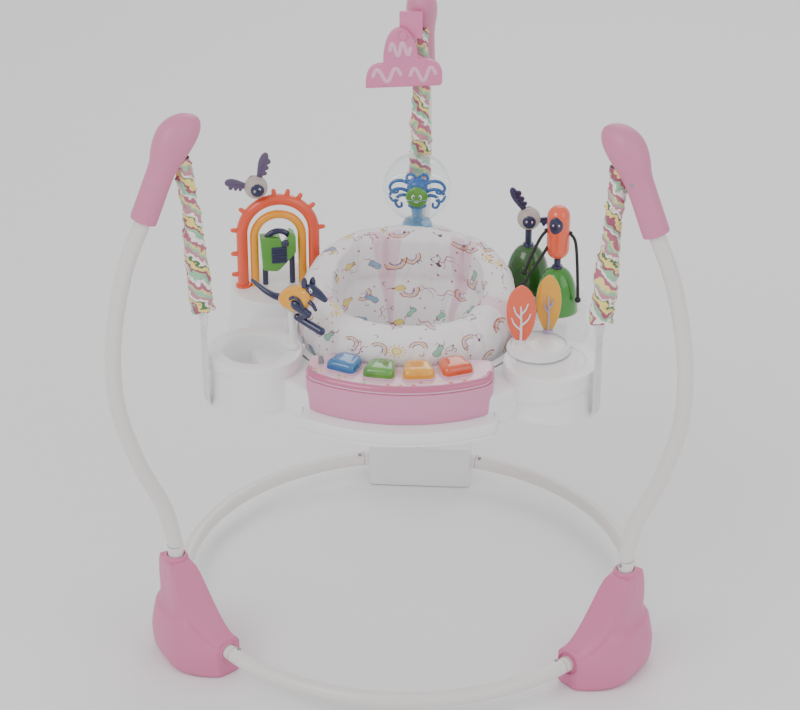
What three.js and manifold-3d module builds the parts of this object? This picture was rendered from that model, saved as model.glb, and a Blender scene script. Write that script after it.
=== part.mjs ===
// Free-standing baby jumper: a round floor ring on three feet carries three bowed uprights,
// and a toy tray with a swivelling fabric seat hangs between them on three sprung straps.
// Millimetres, +Z up, -Y towards the front of the tray.
import * as THREE from "three";
import { LoftGeometry } from "three/addons/geometries/LoftGeometry.js";
import { mergeVertices, toCreasedNormals } from "three/addons/utils/BufferGeometryUtils.js";
import Module from "manifold-3d";

// Floor frame
const RING_RADIUS = 375;          // centreline of the floor ring
const RING_HEIGHT = 45;           // its centreline above the floor
const TUBE_RADIUS = 12.5;         // floor ring and uprights
const TUBE_WALL = 1.2;
const SIDE_AZIMUTHS = { left: 210, right: 330, rear: 90 };
const FOOT_HALF_ANGLE = 13.5;     // how far a foot reaches along the ring, degrees
const SOCKET_ANGLE = 4.5;         // where a ring tube ends inside its foot, degrees
const UPRIGHT_FOOT_RADIUS = 412;  // upright's distance from the ring axis at its foot
const UPRIGHT_BULGE = 85;         // how far the upright bows outwards above the foot
const UPRIGHT_BOTTOM = 100;
const FOOT_TOP = 186;
const FIT = 0.4;                  // clearance between touching pieces
const RING_TUBE_STEPS = 14;       // straight facets along a third of the ring

// Caps, straps and hangers
const CAP_BASE = new THREE.Vector2(436, 780);   // middle of the cap's open lower end
const CAP_LEAN = 23.2;            // cap sleeve's lean towards the ring axis, degrees
const CAP_SLEEVE_RADIUS = 20;
const STRAP_TOP = new THREE.Vector2(CAP_BASE.x - 65, CAP_BASE.y + 90);
const STRAP_FOOT = new THREE.Vector2(348, 616);
const SLEEVE_RADIUS = 17;
const SPRING_RADIUS = 9;
const HANGER_WIDTH = 22;
const HANGER_THICKNESS = 4;

// Tray
const TRAY_BOTTOM = 448;
const DECK_TOP = 500;             // ring-shaped deck round the seat
const DECK_RADIUS = 258;
const SEAT_HOLE_RADIUS = 188;
const SHELL_WALL = 3;
const LOBE_RADIUS = 288;          // low front lobe that carries the piano
const LOBE_HALF_WIDTH = 152;
const LOBE_TOP = 470;
const POD_FACETS = 20;
const POD_FLARE = 4;              // how much a pod is wider at its foot than at its top
const PODS = {
  cup: { x: -230, y: -130, radius: 74, top: 525 },
  spinner: { x: 230, y: -130, radius: 74, top: 521 },
  rainbow: { x: -217, y: 106, radius: 80, top: 522 },
  hills: { x: 206, y: 106, radius: 80, top: 506 },
  globe: { x: 0, y: 262, radius: 76, top: 530 },
};
const CUP_RADIUS = 47;
const CUP_DEPTH = 46;

// Piano
const PIANO_RADIUS = 262;
const PIANO_INNER_RADIUS = 191;
const PIANO_HALF_WIDTH = 143;
const PIANO_SHOULDER = 150;       // how far behind the front wall's ends the case stops, as -Y
const PIANO_CASE_TOP = 520;
const PIANO_DECK = 8;
const KEY_RADIUS = 206;           // arc on which the keys sit
const KEY_LENGTH = 46;
const KEY_PITCH = 16;             // degrees between keys
const KEY_HALF_ANGLE = 6.5;
const KEY_HEIGHT = 17;            // how far a key stands above the deck
const KEY_TRAVEL = 3.5;
const KEY_COLOURS = { blue: 0x296393, green: 0x497c3a, orange: 0xdc9d2b, red: 0xd54a29 };

// Seat
const SEAT_RADIUS = 175;
const SEAT_FLOOR = 322;
const SEAT_FRONT_TOP = 560;
const SEAT_BACK_TOP = 620;
const SEAT_WALL = 9;
const LEG_HOLE_RADIUS = 46;
const LEG_HOLE_ANGLE = 38;        // leg holes either side of the front, degrees

// Toys
const ARCH_AZIMUTH = 13;          // direction of the rainbow's plane
const ARCHES = {
  outer: { radius: 58.5, tube: 9.5, top: 672, colour: 0xeb5532 },
  middle: { radius: 39, tube: 7, top: 646, colour: 0xf5a51e },
  inner: { radius: 22, tube: 4.8, top: 616, colour: 0x1e2350 },
};
const ARCH_STEPS = 20;
const ROLLER_RADIUS = 12.5;
const BALL_RADIUS = 19;
const BALL_PERCH = 112;           // where the winged ball sits on the outer arch, degrees
const GLOBE_RADIUS = 57;
const GLOBE_CENTRE = 630;
const GLOBE_WALL = 1.6;
const HILLS = {
  front: { x: 236, y: 72, radius: 35, depth: 33, height: 76, colour: 0x4a9632 },
  back: { x: 188, y: 144, radius: 37, depth: 33, height: 80, colour: 0x466e32 },
};
const STALK_RADIUS = 5.5;
const BEAN = { radius: 18.5, length: 92, gap: 14 };
const HEAD_GAP = 26;              // stalk between the back hill and the winged head
const SPINNER = { x: 210, y: -98, radius: 50 };
const KANGAROO = { x: -160, y: -130, z: 615, turn: -26, size: 1.08 };
const CLOUD = { x: -27, y: 325, z: CAP_BASE.y + 56, tilt: 3.4 };
const CLOUD_PIVOT_RISE = 40;      // pivot above the cloud's middle
const SWING_GAP = 1;              // clearance beside what turns or swings

const PINK = 0xdea0b7;
const WHITE = 0xf4f2f0;
const NAVY = 0x1e2350;

const wasm = await Module();
wasm.setup();

const rad = THREE.MathUtils.degToRad;
const group = new THREE.Group();

// ---------------------------------------------------------------- solids

// A closed geometry as a manifold solid, turned right side out.
function asSolid(geometry) {
  const bare = geometry.index ? geometry.toNonIndexed() : geometry.clone();
  bare.deleteAttribute("normal");
  bare.deleteAttribute("uv");
  const merged = mergeVertices(bare, 1e-3);
  const vertProperties = merged.attributes.position.array;
  const triVerts = new Uint32Array(merged.index.array);
  const made = new wasm.Manifold(new wasm.Mesh({ numProp: 3, vertProperties, triVerts }));
  if (made.volume() > 0) return made;
  return new wasm.Manifold(new wasm.Mesh({ numProp: 3, vertProperties, triVerts: triVerts.reverse() }));
}

function asGeometry(solid) {
  const mesh = solid.getMesh();
  const geometry = new THREE.BufferGeometry();
  geometry.setAttribute("position", new THREE.BufferAttribute(mesh.vertProperties, 3));
  geometry.setIndex(new THREE.BufferAttribute(mesh.triVerts, 1));
  return toCreasedNormals(geometry, rad(30));
}

function fuse(...geometries) {
  return geometries.map(asSolid).reduce((whole, piece) => whole.add(piece));
}

function carve(solid, ...cutters) {
  return cutters.map(asSolid).reduce((left, cutter) => left.subtract(cutter), solid);
}

function addMesh(name, solid, color, roughness = 0.35, metalness = 0) {
  const material = new THREE.MeshStandardMaterial({ color, roughness, metalness });
  const mesh = new THREE.Mesh(asGeometry(solid), material);
  mesh.name = name;
  group.add(mesh);
  return mesh;
}

// ---------------------------------------------------------------- shapes

const v2 = (x, y) => new THREE.Vector2(x, y);
const v3 = (x, y, z) => new THREE.Vector3(x, y, z);

// A point in the vertical plane through the Z axis at an azimuth.
function polar(radius, azimuth, z) {
  return v3(radius * Math.cos(rad(azimuth)), radius * Math.sin(rad(azimuth)), z);
}

// A profile of [radius, height] pairs turned about the Z axis.
function revolve(profile, segments = 24) {
  const points = profile.map(([radius, height]) => v2(radius, height));
  return new THREE.LatheGeometry(points, segments).rotateX(Math.PI / 2);
}

function cylinder(radius, bottom, top, segments = 20, topRadius = radius) {
  return revolve([[0, top], [topRadius, top], [radius, bottom], [0, bottom]], segments);
}

function block(width, depth, height, x, y, z) {
  return new THREE.BoxGeometry(width, depth, height).translate(x, y, z);
}

function ellipsoid(halfX, halfY, halfZ, across = 16, down = 10) {
  return new THREE.SphereGeometry(1, across, down).rotateX(Math.PI / 2).scale(halfX, halfY, halfZ);
}

function disc(radius, sides, hole = 0, holeSides = sides) {
  const corner = (size, count, i) => v2(size, 0).rotateAround(v2(0, 0), (2 * Math.PI * i) / count);
  const shape = new THREE.Shape(Array.from({ length: sides }, (_, i) => corner(radius, sides, i)));
  if (hole) {
    const rim = Array.from({ length: holeSides }, (_, i) => corner(hole, holeSides, -i));
    shape.holes.push(new THREE.Path(rim));
  }
  return shape;
}

function sweep(shape, curve, steps) {
  return new THREE.ExtrudeGeometry(shape, { steps, extrudePath: curve });
}

function plate(shape, thickness, bevel = 0, segments = 2) {
  const settings = { depth: thickness - 2 * bevel, bevelEnabled: bevel > 0, bevelSegments: segments };
  settings.bevelThickness = bevel;
  settings.bevelSize = bevel;
  settings.bevelOffset = -bevel;
  settings.curveSegments = 4;
  return new THREE.ExtrudeGeometry(shape, settings).translate(0, 0, bevel);
}

// An arc about the Z axis, level with the floor.
class LevelArc extends THREE.Curve {
  constructor(radius, height, start, end) {
    super();
    Object.assign(this, { radius, height, start, end });
  }
  getPoint(t) {
    return polar(this.radius, this.start + (this.end - this.start) * t, this.height);
  }
}

// Sweeps a level tube arc; half a chord's sagitta is made up so that arcs of equal steps nest.
function levelTube(shape, radius, height, start, end, steps) {
  return sweep(shape, new LevelArc(radius, height, start, end), steps);
}

// ---------------------------------------------------------------- floor frame

// Centreline of an upright in its own vertical plane, from inside the foot to inside the cap.
function uprightCurve() {
  const foot = UPRIGHT_FOOT_RADIUS;
  const widest = foot + UPRIGHT_BULGE;
  const lean = v2(-Math.sin(rad(CAP_LEAN)), Math.cos(rad(CAP_LEAN)));
  const capPoint = (along) => CAP_BASE.clone().addScaledVector(lean, along);
  const level = (share) => FOOT_TOP + share * (CAP_BASE.y - FOOT_TOP);
  const points = [
    v2(foot, UPRIGHT_BOTTOM),
    v2(foot, 150),
    v2(foot, FOOT_TOP + 6),
    v2(foot + 0.01 * UPRIGHT_BULGE, level(0.05)),
    v2(foot + 0.2 * UPRIGHT_BULGE, level(0.17)),
    v2(foot + 0.6 * UPRIGHT_BULGE, level(0.305)),
    v2(foot + 0.92 * UPRIGHT_BULGE, level(0.461)),
    v2(widest, level(0.596)),
    v2(foot + 0.91 * UPRIGHT_BULGE, level(0.734)),
    v2(foot + 0.64 * UPRIGHT_BULGE, level(0.886)),
    capPoint(0),
    capPoint(74),
  ];
  return new THREE.CatmullRomCurve3(points.map((p) => v3(p.x, 0, p.y)), false, "centripetal");
}

function tubeSection(radius = TUBE_RADIUS) {
  return disc(radius, 10, radius - TUBE_WALL, 6);
}

function upright() {
  return asSolid(sweep(tubeSection(), uprightCurve(), 18));
}

function ringTube(start, end) {
  return asSolid(levelTube(tubeSection(), RING_RADIUS, RING_HEIGHT, start, end, RING_TUBE_STEPS));
}

// Outline of a foot where a vertical plane at an angle from its middle cuts it: flat sole,
// toe bulge outside, and a top that falls from the upright's socket to the ring tube.
function footSection(angle) {
  const t = Math.abs(angle) / FOOT_HALF_ANGLE;
  const socket = 0.24;
  const fall = Math.max(0, (t - socket) / (1 - socket));
  const top = RING_HEIGHT + 25 + (FOOT_TOP - RING_HEIGHT - 25) * Math.pow(1 - fall, 1.7);
  const mix = (middle, end, power = 1) => middle + (end - middle) * Math.pow(fall, power);
  const outer = mix(UPRIGHT_FOOT_RADIUS + 22.5, RING_RADIUS + 21, 1.5);
  const inner = mix(UPRIGHT_FOOT_RADIUS - 22.5, RING_RADIUS - 21, 0.6);
  const toe = mix(UPRIGHT_FOOT_RADIUS + 35, RING_RADIUS + 24, 2.2);
  const sole = mix(UPRIGHT_FOOT_RADIUS + 20, RING_RADIUS + 18, 2.2);
  const heel = RING_RADIUS - 22;
  return [
    [heel + 3, 0],
    [sole, 0],
    [toe - 3, 22],
    [toe, 0.5 * RING_HEIGHT + 25],
    [(toe + outer) / 2, Math.min(84, 0.8 * top)],
    [outer, Math.min(100, 0.88 * top)],
    [outer, top - 3],
    [outer - 5, top],
    [inner + 5, top],
    [inner, top - 3],
    [Math.min(inner, heel + 12), Math.min(92, 0.84 * top)],
    [heel, RING_HEIGHT + 12],
    [heel, 6],
  ];
}

function footSockets() {
  const radius = TUBE_RADIUS + FIT;
  const ringStart = SOCKET_ANGLE - 0.2;
  const ringEnd = FOOT_HALF_ANGLE + 2;
  const span = (120 - 2 * SOCKET_ANGLE) / RING_TUBE_STEPS;
  const chordSag = RING_RADIUS * (1 - Math.cos(rad(span / 2)));
  const bore = disc(radius + chordSag + 0.3, 16);
  return [
    levelTube(bore, RING_RADIUS, RING_HEIGHT, ringStart, ringEnd, 4),
    levelTube(bore, RING_RADIUS, RING_HEIGHT, -ringStart, -ringEnd, 4),
    cylinder(radius + 0.1, UPRIGHT_BOTTOM - FIT, FOOT_TOP + 2, 16).translate(UPRIGHT_FOOT_RADIUS, 0, 0),
  ];
}

function sideFoot() {
  const cuts = [-1, -0.84, -0.62, -0.42, -0.24, 0, 0.24, 0.42, 0.62, 0.84, 1];
  const sections = cuts.map((cut) => {
    const angle = -cut * FOOT_HALF_ANGLE;
    return footSection(angle).map(([radius, z]) => polar(radius, angle, z));
  });
  const body = new LoftGeometry(sections, { capStart: true, capEnd: true });
  return carve(asSolid(body), ...footSockets());
}

// Rear foot: a plain box across the ring with the upright's socket on it.
function rearFoot() {
  const depth = 104;
  const middle = 0.5 * (RING_RADIUS + UPRIGHT_FOOT_RADIUS);
  const box = new THREE.Shape();
  const corner = 12;
  const half = Math.sin(rad(FOOT_HALF_ANGLE)) * RING_RADIUS + 4;
  box.moveTo(-depth / 2 + corner, -half);
  box.lineTo(depth / 2 - corner, -half);
  box.absarc(depth / 2 - corner, -half + corner, corner, -Math.PI / 2, 0);
  box.absarc(depth / 2 - corner, half - corner, corner, 0, Math.PI / 2);
  box.absarc(-depth / 2 + corner, half - corner, corner, Math.PI / 2, Math.PI);
  box.absarc(-depth / 2 + corner, -half + corner, corner, Math.PI, 1.5 * Math.PI);
  const body = plate(box, 78, 3, 1).translate(middle, 0, 0);
  const socket = cylinder(26, 40, FOOT_TOP, 20, 22.5).translate(UPRIGHT_FOOT_RADIUS, 0, 0);
  return carve(fuse(body, socket), ...footSockets());
}

// ---------------------------------------------------------------- caps and straps

// Hooded cap on an upright's end: a round sleeve that widens into a leaning, flattened head.
// Each section runs from an outer to an inner point of the silhouette, with its own half width.
function cap() {
  const lean = v2(-Math.sin(rad(CAP_LEAN)), Math.cos(rad(CAP_LEAN)));
  const side = v2(lean.y, -lean.x);
  const at = (along, across) => CAP_BASE.clone().addScaledVector(lean, along).addScaledVector(side, across);
  const r = CAP_SLEEVE_RADIUS;
  const silhouette = [
    [at(0, r - 1.5), at(0, 1.5 - r), r - 1.5],
    [at(3, r), at(3, -r), r],
    [at(55, r), at(55, -r), r],
    [at(90, r + 0.5), at(86, -r - 2), r + 1],
    [at(104, r + 4), at(100, -r - 5), r + 3],
    [at(120, r + 6), at(114, -r - 9), r + 5],
    [at(137, r + 5), at(130, -r - 13), r + 6],
    [at(152, r - 1), at(145, -r - 15), r + 4],
    [at(163, r - 11), at(157, -r - 15), r],
    [at(170, r - 22), at(167, -r - 12), r - 7],
    [at(173, r - 33), at(172, -r - 6), r - 14],
  ];
  const sides = 14;
  const sections = silhouette.map(([outer, inner, halfWidth]) => {
    const middle = outer.clone().add(inner).multiplyScalar(0.5);
    const reach = outer.clone().sub(inner).multiplyScalar(0.5);
    return Array.from({ length: sides }, (_, i) => {
      const angle = (2 * Math.PI * i) / sides;
      const p = middle.clone().addScaledVector(reach, Math.cos(angle));
      return v3(p.x, halfWidth * Math.sin(angle), p.y);
    });
  });
  const body = new LoftGeometry(sections, { capStart: true, capEnd: true });
  const bore = sweep(disc(TUBE_RADIUS + FIT + 0.2, 16), capBoreLine(), 1);
  const pocket = strapTube(disc(SLEEVE_RADIUS + 2, 16)).translate([0, 0, FIT]);
  return carve(asSolid(body), bore).subtract(pocket);
}

function capBoreLine() {
  const lean = v3(-Math.sin(rad(CAP_LEAN)), 0, Math.cos(rad(CAP_LEAN)));
  const base = v3(CAP_BASE.x, 0, CAP_BASE.y);
  return new THREE.LineCurve3(base.clone().addScaledVector(lean, -6), base.clone().addScaledVector(lean, 74.5));
}

// A strap's line from the cap's pocket down to the hanger.
function strapTube(section) {
  const line = new THREE.LineCurve3(v3(STRAP_FOOT.x, 0, STRAP_FOOT.y), v3(STRAP_TOP.x, 0, STRAP_TOP.y));
  const level = sweep(section, new THREE.LineCurve3(v3(0, 0, 0), v3(0, 0, 1)), 1);
  const height = line.v2.z - line.v1.z;
  const lean = (line.v2.x - line.v1.x) / height;
  const shear = new THREE.Matrix4().set(1, 0, lean, 0, 0, 1, 0, 0, 0, 0, 1, 0, 0, 0, 0, 1);
  return asSolid(level.scale(1, 1, height).applyMatrix4(shear).translate(line.v1.x, 0, line.v1.z));
}

// Hanger: a flat bar from the strap's foot down the outside of the tray, with a hook plate
// under the strap and a foot that wraps under the tray's flange.
function hanger() {
  const outer = STRAP_FOOT.x + HANGER_THICKNESS / 2;
  const top = STRAP_FOOT.y - FIT;
  const bottom = TRAY_BOTTOM - 6 - FIT;
  const bar = block(HANGER_THICKNESS, HANGER_WIDTH, top - bottom, STRAP_FOOT.x, 0, (top + bottom) / 2);
  const head = cylinder(12, top - 8, top, 12).translate(STRAP_FOOT.x, 0, 0);
  const reach = 30;
  const foot = block(reach, HANGER_WIDTH, 6, outer - reach / 2, 0, bottom + 3);
  return fuse(bar, head, foot);
}

// Cloud sign: a flat cloud outline, hung from a pin on the rear cap's face.
function cloud() {
  const outline = new THREE.Shape();
  outline.moveTo(-66, -52);
  outline.quadraticCurveTo(-63, -8, -34, -10);
  outline.bezierCurveTo(-32, 70, 22, 70, 24, -2);
  outline.bezierCurveTo(50, -4, 66, -12, 62, -40);
  outline.quadraticCurveTo(62, -52, 52, -51);
  outline.closePath();
  const board = plate(outline, 12, 2.5, 1).rotateX(Math.PI / 2).translate(0, 6, 0);
  const pivot = cylinder(4 + SWING_GAP / 2, -20, 20, 12).rotateX(Math.PI / 2).translate(0, 0, CLOUD_PIVOT_RISE);
  return carve(asSolid(board.rotateY(rad(-CLOUD.tilt))), pivot).translate([CLOUD.x, CLOUD.y, CLOUD.z]);
}

// Bracket on the rear cap's nose: a tab behind the cloud, with the pin that the cloud hangs from.
function cloudBracket() {
  const back = CLOUD.y + 6 + SWING_GAP;
  const pinZ = CLOUD.z + CLOUD_PIVOT_RISE;
  const tab = block(38, 3.5, 46, CLOUD.x + 12, back + 1.75, pinZ + 13);
  const pin = cylinder(4, -8 - SWING_GAP, 6, 12).rotateX(-Math.PI / 2).translate(CLOUD.x, CLOUD.y - 1, pinZ);
  const washer = cylinder(7, 0, 2.5, 12).rotateX(Math.PI / 2).translate(CLOUD.x, CLOUD.y - 6 - SWING_GAP, pinZ);
  const boss = cylinder(9, 0, 24, 14).rotateX(-Math.PI / 2).translate(CLOUD.x + 22, back + 1, pinZ + 26);
  const shaft = cylinder(4, 0, 16 + 2 * SWING_GAP, 12).rotateX(-Math.PI / 2);
  shaft.translate(CLOUD.x, CLOUD.y - 7 - SWING_GAP, pinZ);
  const nose = cap().rotate([0, 0, SIDE_AZIMUTHS.rear]).translate([0, -FIT, 0]);
  return fuse(tab, pin, washer, boss, shaft).subtract(nose);
}

// ---------------------------------------------------------------- tray

// Solid shape of the tray's top, shrunk by an inset on every side: deck ring, pods and front lobe.
function trayBulk(inset) {
  const bottom = inset ? TRAY_BOTTOM - 10 : TRAY_BOTTOM;
  const deck = cylinder(DECK_RADIUS - inset, bottom, DECK_TOP - inset, 36);
  const pods = Object.values(PODS).map(({ x, y, radius, top }) => {
    const r = radius - inset;
    const ceiling = top - inset;
    const wall = [[0, ceiling], [r - 7, ceiling], [r, ceiling - 7], [r + POD_FLARE, bottom], [0, bottom]];
    return revolve(wall, POD_FACETS).translate(x, y, 0);
  });
  const lobe = asSolid(cylinder(LOBE_RADIUS - inset, bottom, LOBE_TOP - inset, 48));
  const reach = 2 * (LOBE_HALF_WIDTH - inset);
  const window = asSolid(block(reach, LOBE_RADIUS, 200, 0, -LOBE_RADIUS / 2 - 20, LOBE_TOP));
  return fuse(deck, ...pods).add(lobe.intersect(window));
}

// Room for the piano above the lobe, grown by a margin.
function pianoRoom(margin) {
  const depth = LOBE_RADIUS - PIANO_SHOULDER + 40;
  const width = 2 * (PIANO_HALF_WIDTH + margin);
  return block(width, depth, 90, 0, margin - PIANO_SHOULDER - depth / 2, 45);
}

function trayShell() {
  const seatHole = cylinder(SEAT_HOLE_RADIUS, TRAY_BOTTOM - 20, DECK_TOP + 60, 36);
  const collar = cylinder(SEAT_HOLE_RADIUS + 3, DECK_TOP, DECK_TOP + 60, 36);
  const socket = cylinder(5 + FIT, PODS.spinner.top - 20, PODS.spinner.top + 5, 12).translate(SPINNER.x, SPINNER.y, 0);
  const room = pianoRoom(FIT).translate(0, 0, LOBE_TOP);
  const inner = trayBulk(SHELL_WALL).subtract(asSolid(cylinder(SEAT_HOLE_RADIUS + SHELL_WALL, 0, 600, 36)));
  const roomBelow = pianoRoom(FIT + SHELL_WALL).translate(0, 0, LOBE_TOP - SHELL_WALL);
  const { x, y, top } = PODS.cup;
  const floor = top - CUP_DEPTH;
  const cupWall = cylinder(CUP_RADIUS, floor - SHELL_WALL, top - 1, 24).translate(x, y, 0);
  const cupHole = cylinder(CUP_RADIUS - SHELL_WALL, floor, top + 5, 24).translate(x, y, 0);
  const solid = carve(trayBulk(0), seatHole, collar, room);
  const hollow = inner.subtract(asSolid(roomBelow));
  return carve(solid.subtract(hollow).add(asSolid(cupWall)), cupHole, socket);
}

// Underside plate: closes the shell from below, and its lip carries the seat ring.
function trayBase() {
  const gap = SHELL_WALL + FIT;
  const outer = cylinder(DECK_RADIUS - gap, TRAY_BOTTOM, TRAY_BOTTOM + SHELL_WALL, 36);
  const pods = Object.values(PODS).map(({ x, y, radius }) =>
    cylinder(radius - gap, TRAY_BOTTOM, TRAY_BOTTOM + SHELL_WALL, POD_FACETS).translate(x, y, 0));
  const hole = cylinder(SEAT_HOLE_RADIUS + SHELL_WALL + 2.5, 400, 600, 36);
  return carve(fuse(outer, ...pods), hole);
}

// Ring that the seat's fabric hangs from: it turns in the tray's hole, its flange on the deck.
function seatRing() {
  const hole = SEAT_HOLE_RADIUS - 2 * FIT;
  const flange = SEAT_HOLE_RADIUS + 1;
  const inner = SEAT_RADIUS + 3 * FIT;
  const top = DECK_TOP + 4;
  return asSolid(revolve([
    [inner, top], [flange - 2, top], [flange, top - 2], [flange, DECK_TOP + FIT], [hole, DECK_TOP + FIT],
    [hole, DECK_TOP - 26], [inner, DECK_TOP - 26], [inner, top],
  ], 36));
}

// ---------------------------------------------------------------- piano

// Crescent plan of the piano: a round front wall, straight ends and a round back edge.
function pianoOutline(front, back, halfWidth) {
  const shape = new THREE.Shape();
  const frontAngle = Math.acos(halfWidth / front);
  const backHalf = Math.sqrt(back * back - PIANO_SHOULDER * PIANO_SHOULDER);
  const backAngle = Math.asin(PIANO_SHOULDER / back);
  shape.moveTo(-halfWidth, -PIANO_SHOULDER);
  shape.lineTo(-halfWidth, -PIANO_SHOULDER - 5);
  shape.absarc(0, 0, front, Math.PI + frontAngle, 2 * Math.PI - frontAngle, false);
  shape.lineTo(halfWidth, -PIANO_SHOULDER);
  if (backHalf < halfWidth) shape.absarc(0, 0, back, -backAngle, backAngle - Math.PI, true);
  shape.closePath();
  return shape;
}

function crescent(front, back, halfWidth, bottom, top) {
  const shape = pianoOutline(front, back, halfWidth);
  const settings = { depth: top - bottom, bevelEnabled: false, curveSegments: 16 };
  return new THREE.ExtrudeGeometry(shape, settings).translate(0, 0, bottom);
}

function pianoCase() {
  const wall = 3;
  const bottom = LOBE_TOP + FIT;
  const body = asSolid(crescent(PIANO_RADIUS, PIANO_INNER_RADIUS, PIANO_HALF_WIDTH, bottom, PIANO_CASE_TOP));
  const inside = crescent(PIANO_RADIUS - wall, PIANO_INNER_RADIUS + wall, PIANO_HALF_WIDTH - wall,
    bottom + wall, PIANO_CASE_TOP + 5);
  const shoulder = block(2 * PIANO_HALF_WIDTH, wall, 60, 0, -PIANO_SHOULDER - wall / 2, bottom + 30);
  const seatSide = asSolid(cylinder(PIANO_INNER_RADIUS, 400, 600, 48));
  const back = asSolid(shoulder).subtract(seatSide).intersect(body);
  return carve(body, inside).add(back);
}

// One key's plan: a rounded sector about the seat's axis, grown by a margin.
function keyOutline(margin) {
  const inner = KEY_RADIUS - KEY_LENGTH / 2 - margin;
  const outer = KEY_RADIUS + KEY_LENGTH / 2 + margin;
  const round = 9 + margin;
  const half = rad(KEY_HALF_ANGLE);
  const corner = (radius, angle, inward) => {
    const sideways = (angle < 0 ? 1 : -1) * (round - margin);
    const centreRadius = radius + inward * round;
    return v2(centreRadius * Math.sin(angle) + sideways, -centreRadius * Math.cos(angle));
  };
  const shape = new THREE.Shape();
  const arcs = [
    [corner(outer, -half, -1), Math.PI, 1.5 * Math.PI],
    [corner(outer, half, -1), 1.5 * Math.PI, 2 * Math.PI],
    [corner(inner, half, 1), 0, 0.5 * Math.PI],
    [corner(inner, -half, 1), 0.5 * Math.PI, Math.PI],
  ];
  for (const [centre, start, end] of arcs) shape.absarc(centre.x, centre.y, round, start, end, false);
  shape.closePath();
  return shape;
}

function pianoKey() {
  const bottom = PIANO_CASE_TOP + KEY_TRAVEL + FIT;
  const height = PIANO_CASE_TOP + PIANO_DECK + KEY_HEIGHT - bottom;
  const settings = { depth: height - 10, bevelEnabled: true, bevelThickness: 10, bevelSize: 7, bevelOffset: -7 };
  settings.bevelSegments = 2;
  settings.curveSegments = 2;
  const pillow = asSolid(new THREE.ExtrudeGeometry(keyOutline(0), settings).translate(0, 0, bottom));
  const skirt = block(200, 200, 60, 0, -KEY_RADIUS, bottom - 30);
  return carve(pillow, skirt);
}

function pianoDeck() {
  const body = asSolid(crescent(PIANO_RADIUS, SEAT_RADIUS + 5, PIANO_HALF_WIDTH,
    PIANO_CASE_TOP + FIT, PIANO_CASE_TOP + PIANO_DECK));
  const wells = [-1.5, -0.5, 0.5, 1.5].map((place) => {
    const well = new THREE.ExtrudeGeometry(keyOutline(0.8), { depth: 40, bevelEnabled: false, curveSegments: 2 });
    return well.rotateZ(rad(place * KEY_PITCH)).translate(0, 0, PIANO_CASE_TOP - 10);
  });
  const switchSlot = block(20, 8.8, 40, ...switchPlace(PIANO_CASE_TOP).toArray());
  return carve(body, ...wells, switchSlot);
}

// Rounded bead along the deck's front edge.
function pianoBead() {
  const edge = PIANO_RADIUS - 6.5;
  const reach = (Math.acos((PIANO_HALF_WIDTH - 6) / edge) * 180) / Math.PI;
  const height = PIANO_CASE_TOP + PIANO_DECK + 5 + FIT;
  return asSolid(levelTube(disc(5, 10), edge, height, 180 + reach, 360 - reach, 16));
}

function switchPlace(z) {
  return v3(-PIANO_HALF_WIDTH + 21, -PIANO_SHOULDER - 26, z);
}

function volumeSwitch() {
  const deckTop = PIANO_CASE_TOP + PIANO_DECK;
  const thumb = block(8, 8, 16, 0, 0, deckTop);
  const grip = block(5, 7, 4, 0, 0, deckTop + 9.9);
  return fuse(thumb, grip).translate(switchPlace(0).x, switchPlace(0).y, 0);
}

// ---------------------------------------------------------------- seat

// Height of the seat's rim round the seat: low across the front, high at the back.
function seatRim(azimuth) {
  const back = (1 + Math.sin(rad(azimuth))) / 2;
  return SEAT_FRONT_TOP + (SEAT_BACK_TOP - SEAT_FRONT_TOP) * Math.pow(back, 1.6);
}

function seatFabric() {
  const turns = 24;
  const sections = Array.from({ length: turns + 1 }, (_, i) => {
    const azimuth = (360 * i) / turns;
    const rim = seatRim(azimuth);
    const r = SEAT_RADIUS;
    const wall = [
      [r, DECK_TOP - 20], [r, rim - 20], [r - 10, rim - 3], [r - 26, rim - 3], [r - 36, rim - 22],
      [r - 34, DECK_TOP], [r - 42, 440], [r - 66, 372], [r - 92, SEAT_FLOOR + SEAT_WALL],
      [r - 92, SEAT_FLOOR], [r - 58, 366], [r - 32, 436],
    ];
    return wall.map(([radius, z]) => polar(radius, azimuth, z));
  });
  const walls = asSolid(new LoftGeometry(sections));
  const base = asSolid(cylinder(SEAT_RADIUS - 88, SEAT_FLOOR, SEAT_FLOOR + SEAT_WALL, turns));
  const legs = [-1, 1].map((side) => {
    const hole = new THREE.CylinderGeometry(LEG_HOLE_RADIUS, LEG_HOLE_RADIUS, 200, 20);
    hole.rotateZ(Math.PI / 2).translate(150, 0, SEAT_FLOOR + 72);
    return hole.rotateZ(rad(270 + side * LEG_HOLE_ANGLE));
  });
  return legs.map(asSolid).reduce((left, leg) => left.subtract(leg), walls.add(base));
}

// ---------------------------------------------------------------- rainbow toy

// An arch with straight legs that stands on its pod, in a local X-Z plane about the pod's middle.
class ArchCurve extends THREE.Curve {
  constructor(radius, top, foot) {
    super();
    Object.assign(this, { radius, spring: top - radius, foot });
  }
  getPoint(t) {
    const leg = this.spring - this.foot;
    const bow = Math.PI * this.radius;
    const s = t * (2 * leg + bow);
    if (s < leg) return v3(-this.radius, 0, this.foot + s);
    if (s > leg + bow) return v3(this.radius, 0, this.foot + (2 * leg + bow - s));
    const angle = Math.PI - (s - leg) / this.radius;
    return v3(this.radius * Math.cos(angle), 0, this.spring + this.radius * Math.sin(angle));
  }
}

function archCurve(radius, top) {
  return new ArchCurve(radius, top, PODS.rainbow.top + FIT);
}

function arch({ radius, tube, top }) {
  return asSolid(sweep(disc(tube, 8), archCurve(radius, top), ARCH_STEPS));
}

function archNub() {
  return revolve([[0, 9], [4, 7], [4, -4], [0, -4]], 7);
}

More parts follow.
